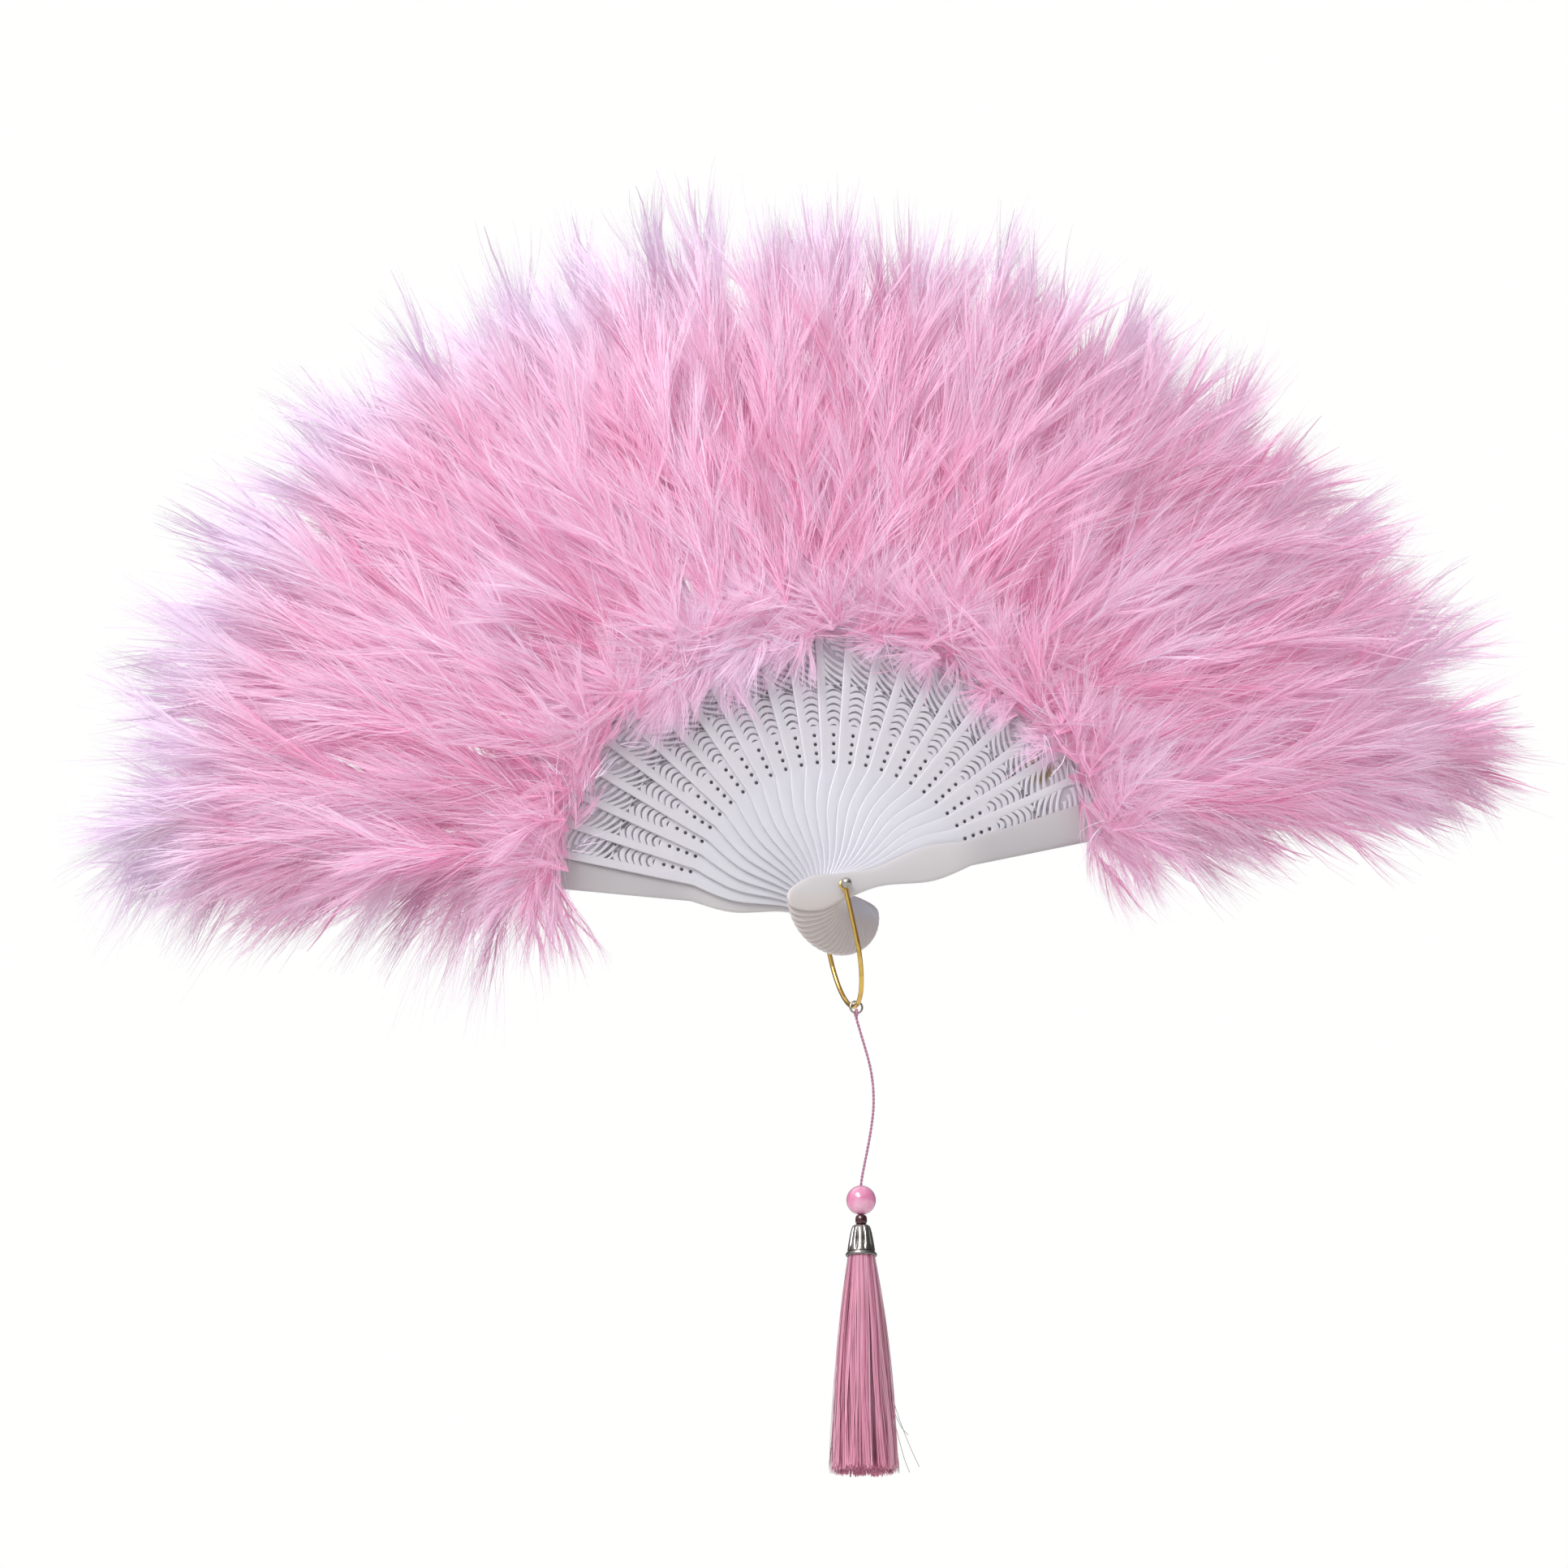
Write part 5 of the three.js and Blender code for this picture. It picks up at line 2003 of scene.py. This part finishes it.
    def round_bead(self) -> bpy.types.Object:
        """Makes the cloudy pink bead with its bore.

        Returns:
            The piece.
        """
        rise = math.acos(self.bore / self.bead)
        turns = [rise * (2 * i / self.bead_steps - 1) for i in range(self.bead_steps + 1)]
        profile = [(self.bead * math.cos(t), self.bead * math.sin(t)) for t in turns]
        mesh = self.strung(turned("pink_bead", profile, 2 * self.bead_steps), self.bead_z)
        return fit(mesh, "pink_bead", "tassel", "bead_resin", ["round_bead"], RESIN)

    def seed_bead(self) -> bpy.types.Object:
        """Makes the dark seed bead with round shoulders.

        Returns:
            The piece.
        """
        half = self.seed_height / 2
        wall = (self.seed - self.bore) / 2
        turns = circle(self.seed_steps)
        profile = [(self.bore + wall * (1 + math.cos(t)), half * math.sin(t)) for t in turns]
        mesh = self.strung(turned("dark_bead", profile, self.seed_sides), self.seed_top - half)
        return fit(mesh, "dark_bead", "tassel", "seed_glass", ["seed_bead"], SEED_GLASS)

    def cap(self) -> bpy.types.Object:
        """Makes the fluted bell cap with a rolled rim.

        Returns:
            The piece.
        """
        outer = [(radius * MM, height * MM) for radius, height in self.cap_profile_mm]
        inner = [(radius - self.cap_wall / 2, height) for radius, height in outer[::-1]]
        inner[-1] = (outer[0][0] - self.cap_wall / 2, -self.cap_wall)
        profile = [(self.bore, 0.0), *outer, *inner, (self.bore, -self.cap_wall)]

        def fluted(turn: float, height: float) -> float:
            """Draws the wall in between the flutes, in the middle of the bell.

            Args:
                turn: The angle round the cap.
                height: The height from the cap's top.

            Returns:
                The factor on the radius.
            """
            down = min(max(-height / (self.flute_end * self.cap_height), 0.0), 1.0)
            middle = math.sin(math.pi * down) ** self.flute_rise
            return 1.0 - self.flute_depth * middle * (1 - abs(math.cos(self.flutes * turn / 2))) ** 2

        mesh = self.strung(turned("bell_cap", profile, self.cap_sides, fluted), self.cap_top)
        return fit(mesh, "bell_cap", "tassel", "bright_steel", ["tassel_cap"], CAP_STEEL)

    def skirt(self) -> None:
        """Grows the skirt's threads."""
        tree = ThreadTree()
        values = {
            "threads": self.threads,
            "neck": self.cap_profile_mm[-1][0] * MM - self.cap_wall,
            "hem": self.skirt_hem,
            "top": self.cap_mouth + self.tucked_in,
            "bottom": self.cap_mouth - self.skirt_length,
        }
        mesh = self.strung(tree.grow("silk_skirt", [values]), 0.0)
        fit(mesh, "silk_skirt", "tassel", "skirt_silk", ["tassel_skirt"])
        curves = [spline(marks, self.stray_steps) for marks in self.stray_mm]
        lines = [[(x * MM, 0.0, z * MM) for x, z in curve] for curve in curves]
        mesh = self.strung(tubes("stray_threads", lines, self.stray_radius, sides=0), 0.0)
        fit(mesh, "stray_threads", "tassel", "skirt_silk", ["tassel_skirt"], DARK_SILK)

    def cord(self) -> None:
        straight = [self.bead_z + self.bead / 2, self.bead_z, self.seed_top, self.cap_top, self.knot_z]
        marks = [(0.0, 0.0, -self.loop_radius)]
        marks += [(x * MM, 0.0, z * MM) for x, z in self.cord_mm]
        marks += [(self.hang_x, 0.0, z) for z in straight]
        route = [Vector(point) + self.loop_centre for point in spline(marks, self.cord_steps)]
        strand = tubes("twisted_cord", self.plies(route), self.ply_radius, sides=1)
        strand = fit(strand, "twisted_cord", "tassel", "cord_silk", ["tassel_cord"], CORD_SILK)
        loop = fit(self.loop(), "cord_loop", "tassel", "cord_silk", ["tassel_cord"], CORD_SILK)
        knot = self.strung(self.overhand(), self.knot_z)
        knot = fit(knot, "cord_knot", "tassel", "cord_silk", ["tassel_cord"], CORD_SILK)

    def plies(self, route: Sequence[Vector]) -> list[list[Triple]]:
        """The lines of the cord's two plies, which wind round its route.

        Args:
            route: The cord's route.

        Returns:
            The points of each ply.
        """
        plies, turn = [[], []], 0.0
        side = Vector((0, 1, 0))
        for i, point in enumerate(route):
            ahead = (route[min(i + 1, len(route) - 1)] - route[max(i - 1, 0)]).normalized()
            other = ahead.cross(side)
            if i:
                turn += (point - route[i - 1]).length * 2 * math.pi / self.lay
            for number, ply in enumerate(plies):
                spin = turn + math.pi * number
                away = side * math.cos(spin) + other * math.sin(spin)
                ply.append(tuple(point + away * (self.cord_radius - self.ply_radius)))
        return plies

    def loop(self) -> bpy.types.Mesh:
        """The cord's loop through the jump ring.

        Returns:
            The mesh.
        """
        line = []
        for turn in circle(self.loop_steps):
            out = Vector((0, math.sin(turn), math.cos(turn)))
            line.append(tuple(self.loop_centre + out * self.loop_radius))
        return tubes("cord_loop", [line], self.cord_radius, cyclic=True, sides=2)

    def overhand(self) -> bpy.types.Mesh:
        """A small overhand knot: a trefoil of cord drawn tight.

        Returns:
            The mesh.
        """
        size = self.knot - self.cord_radius
        points = []
        for t in circle(self.knot_steps):
            x = (math.sin(t) + 2 * math.sin(2 * t)) / 3
            y = (math.cos(t) - 2 * math.cos(2 * t)) / 3
            points.append((x * size, y * size, -math.sin(3 * t) * size * self.knot_height))
        return tubes("cord_knot", [points], self.cord_radius, cyclic=True, sides=2)


class ThreadDraw(Enum):
    """What a random draw of the skirt's threads is for, by its salt."""

    TURN = 0
    SHARE = 1
    LOCK_SWAY = 2
    RAGGED = 3
    BOW = 4
    WIDTH = 5
    LOCK_WAVE = 6
    LOCK_SHADE = 7
    SWAY = 8
    FLARE = 9
    SHADE = 10
    WAVE = 11


class ThreadTree(Grower):
    """Grows the threads of a tassel's skirt in locks, from its neck to its hem."""

    steps: int = 14
    rings: float = 3.0
    locks: float = 30.0
    least_share: float = 0.05
    gathered: float = 0.35
    lock_sway: float = 0.12
    own_sway: float = 0.06
    ragged: Pair = (-0.8 * MM, 1.4 * MM)
    flare: Pair = (1.02, 1.16)
    bow_mm: Pair = (0.2, 2.2)
    width: float = 0.32 * MM
    own_width: Pair = (0.7, 1.2)
    drift: float = 1.0 * MM
    lock_shade: float = 0.55
    own_shade: float = 0.45
    lock_wave: float = 1.0
    own_wave: float = 0.35
    ripple: float = 1.1 * MM
    ripple_rate: float = 7.0
    ripple_shift: float = 5.0
    fall_map: Triple = (0.03, 0.94, 0.0)
    shade_map: Triple = (0.05, 0.88, 0.04)

    def __init__(self) -> None:
        """Builds the tree."""
        super().__init__("threads", seed=5)
        count = self.value("threads", 900)
        neck = self.value("neck", 4.5 * MM)
        hem = self.value("hem", 10.6 * MM)
        top = self.value("top", 0.0)
        bottom = self.value("bottom", -0.07)
        points = self.node("GeometryNodePoints", sockets={"Count": count})
        index = self.node("GeometryNodeInputIndex")
        turn = self.draw(index, ThreadDraw.TURN, 0.0, math.tau)
        share = self.draw(index, ThreadDraw.SHARE, self.least_share, 1.0) ** 0.5
        ring = (share * self.rings).floor()
        lock = (turn * (self.locks / math.tau)).floor() + ring * self.locks
        middle = ((lock % self.locks) + 0.5) * (math.tau / self.locks)
        sway = self.either(lock, ThreadDraw.LOCK_SWAY, self.lock_sway)
        sway = sway + self.either(index, ThreadDraw.SWAY, self.own_sway)
        low_turn = turn + (middle - turn) * self.gathered + sway
        out = self.vector(turn.cos(), turn.sin(), 0.0)
        out_low = self.vector(low_turn.cos(), low_turn.sin(), 0.0)
        start = out * (neck * share) + self.vector(0.0, 0.0, top)
        end = bottom + self.draw(index, ThreadDraw.RAGGED, *self.ragged)
        spread = hem * share * self.draw(lock, ThreadDraw.FLARE, *self.flare)
        foot = out_low * spread + self.vector(self.drift, 0.0, end)
        width = self.width * self.draw(index, ThreadDraw.WIDTH, *self.own_width)
        wave = self.either(lock, ThreadDraw.LOCK_WAVE, self.lock_wave)
        shade = self.lock_shade * self.draw(lock, ThreadDraw.LOCK_SHADE)
        points, thread = self.keep(
            points, start=start, fall=foot - start, side=out.cross((0.0, 0.0, 1.0)),
            bow=out * (self.draw(lock, ThreadDraw.BOW, *self.bow_mm) * MM),
            wide=self.vector(-turn.sin(), turn.cos(), 0.0) * width,
            wave=wave + self.either(index, ThreadDraw.WAVE, self.own_wave),
            shade=shade + self.own_shade * self.draw(index, ThreadDraw.SHADE))
        strips, along, across = self.strips(points, self.steps)
        ripple = (along * self.ripple_rate + thread["wave"] * self.ripple_shift).sin()
        ripple = ripple * thread["wave"] * along
        place = thread["start"] + thread["fall"] * along + thread["bow"] * (along * (1.0 - along) * 4.0)
        place = place + thread["side"] * (ripple * self.ripple) + thread["wide"] * across
        bake = self.inset(along, along, self.fall_map), self.inset(thread["shade"], across, self.shade_map)
        self.finish(strips, place, self.vector(*bake, 0.0), SKIRT_SILK.material())


@dataclass(frozen=True)
class Lamp:
    """A round soft lamp that faces the fan."""

    name: str
    place: Triple
    size: float
    power: float
    lights: bool = True
    mirrored: bool = False

    def build(self) -> None:
        """Adds the lamp, which may light matt surfaces, show in bright ones, or both."""
        data = bpy.data.lights.new(self.name, "AREA")
        data.shape = "DISK"
        data.size = self.size
        data.energy = self.power
        lamp = bpy.data.objects.new(self.name, data)
        lamp.visible_glossy = self.mirrored
        lamp.visible_diffuse = self.lights
        lamp.location = self.place
        lamp.rotation_mode = "QUATERNION"
        lamp.rotation_quaternion = (-Vector(self.place)).to_track_quat("-Z", "Y")
        bpy.context.scene.collection.objects.link(lamp)


@dataclass
class Studio:
    """The camera at the photograph's angle, soft lamps, a white world and a pale floor."""

    azimuth_deg: float = -13.2
    elevation_deg: float = -15.0
    distance: float = 2.0
    lens_mm: float = 134.0
    aim_right: float = -16.5 * MM
    aim_up: float = 38.7 * MM
    lamps: tuple[Lamp, ...] = (
        Lamp("key", (-1.6, -1.4, 1.6), 1.4, 42.0, mirrored=True),
        Lamp("fill", (1.6, -1.5, 0.4), 1.6, 4.0),
        Lamp("rear", (-0.5, 1.9, 1.3), 1.6, 13.0),
        Lamp("glint", (-1.2, -1.8, 1.0), 0.9, 24.0, lights=False, mirrored=True),
    )
    floor_height: float = -0.9
    floor_size: float = 60.0
    world_colour: Colour = (1.0, 1.0, 0.995, 1.0)
    shade: float = 0.22
    ambient: float = 0.74
    light_way: Triple = (-0.68, -0.2, 0.7)
    light_edge: Pair = (-0.9, 0.9)
    mirrored_dark: float = 0.18
    mirrored_light: float = 0.95
    bright_way: Triple = (-0.45, -0.35, 0.82)
    bright_edge: Pair = (0.35, 0.85)

    def build(self) -> None:
        """Sets up the camera, the lamps, the world and the floor."""
        self.camera()
        for lamp in self.lamps:
            lamp.build()
        self.world()
        self.floor()
        bpy.context.scene.view_settings.view_transform = "Standard"

    def camera(self) -> None:
        """Places the camera and makes it the scene's own."""
        turn, rise = math.radians(self.azimuth_deg), math.radians(self.elevation_deg)
        back = Vector((math.sin(turn) * math.cos(rise), -math.cos(turn) * math.cos(rise), math.sin(rise)))
        facing = (-back).to_track_quat("-Z", "Y")
        aim = facing @ Vector((self.aim_right, self.aim_up, 0.0))
        data = bpy.data.cameras.new("camera")
        data.lens = self.lens_mm
        camera = bpy.data.objects.new("camera", data)
        camera.rotation_mode = "QUATERNION"
        camera.rotation_quaternion = facing
        camera.location = aim + back * self.distance
        bpy.context.scene.collection.objects.link(camera)
        bpy.context.scene.camera = camera

    def world(self) -> None:
        """Makes a world that is white to look at and lights the fan at a plain level."""
        world = bpy.data.worlds.new("white_world")
        world.use_nodes = True
        tree = Tree(world.node_tree)
        seen = tree.is_ray("Is Camera Ray", "Is Transmission Ray")
        glossy = tree.is_ray("Is Glossy Ray")
        way = tree.node("ShaderNodeTexCoord", output="Generated")
        brightest = tree.ramped(way.dot(self.bright_way), *self.bright_edge)
        mirrored = self.mirrored_dark + self.mirrored_light * brightest
        lit = tree.ramped(way.dot(self.light_way), *self.light_edge)
        soft = self.shade + (self.ambient - self.shade) * lit
        strength = soft + (1.0 - soft) * seen + (mirrored - soft) * glossy
        sockets = {"Color": self.world_colour, "Strength": strength}
        light = tree.node("ShaderNodeBackground", sockets=sockets)
        tree.node("ShaderNodeOutputWorld", sockets={"Surface": light})
        bpy.context.scene.world = world

    def floor(self) -> None:
        """Lays a pale floor well below the hanging tassel."""
        half = self.floor_size / 2
        mesh = bpy.data.meshes.new("floor")
        mesh.from_pydata([(x * half, y * half, self.floor_height) for x, y in CORNERS], [], [(0, 1, 2, 3)])
        mesh.materials.append(PALE_FLOOR.material())
        floor = bpy.data.objects.new("floor", mesh)
        bpy.context.scene.collection.objects.link(floor)


def main() -> None:
    """Builds the fan's looks in order."""
    logging.basicConfig(level=logging.INFO, format="%(message)s")
    Studio().build()
    Tassel().build()
    Sticks().build()
    Ribbon().build()
    Rivet().build()
    Feathers().build()


if __name__ == "__main__":
    main()
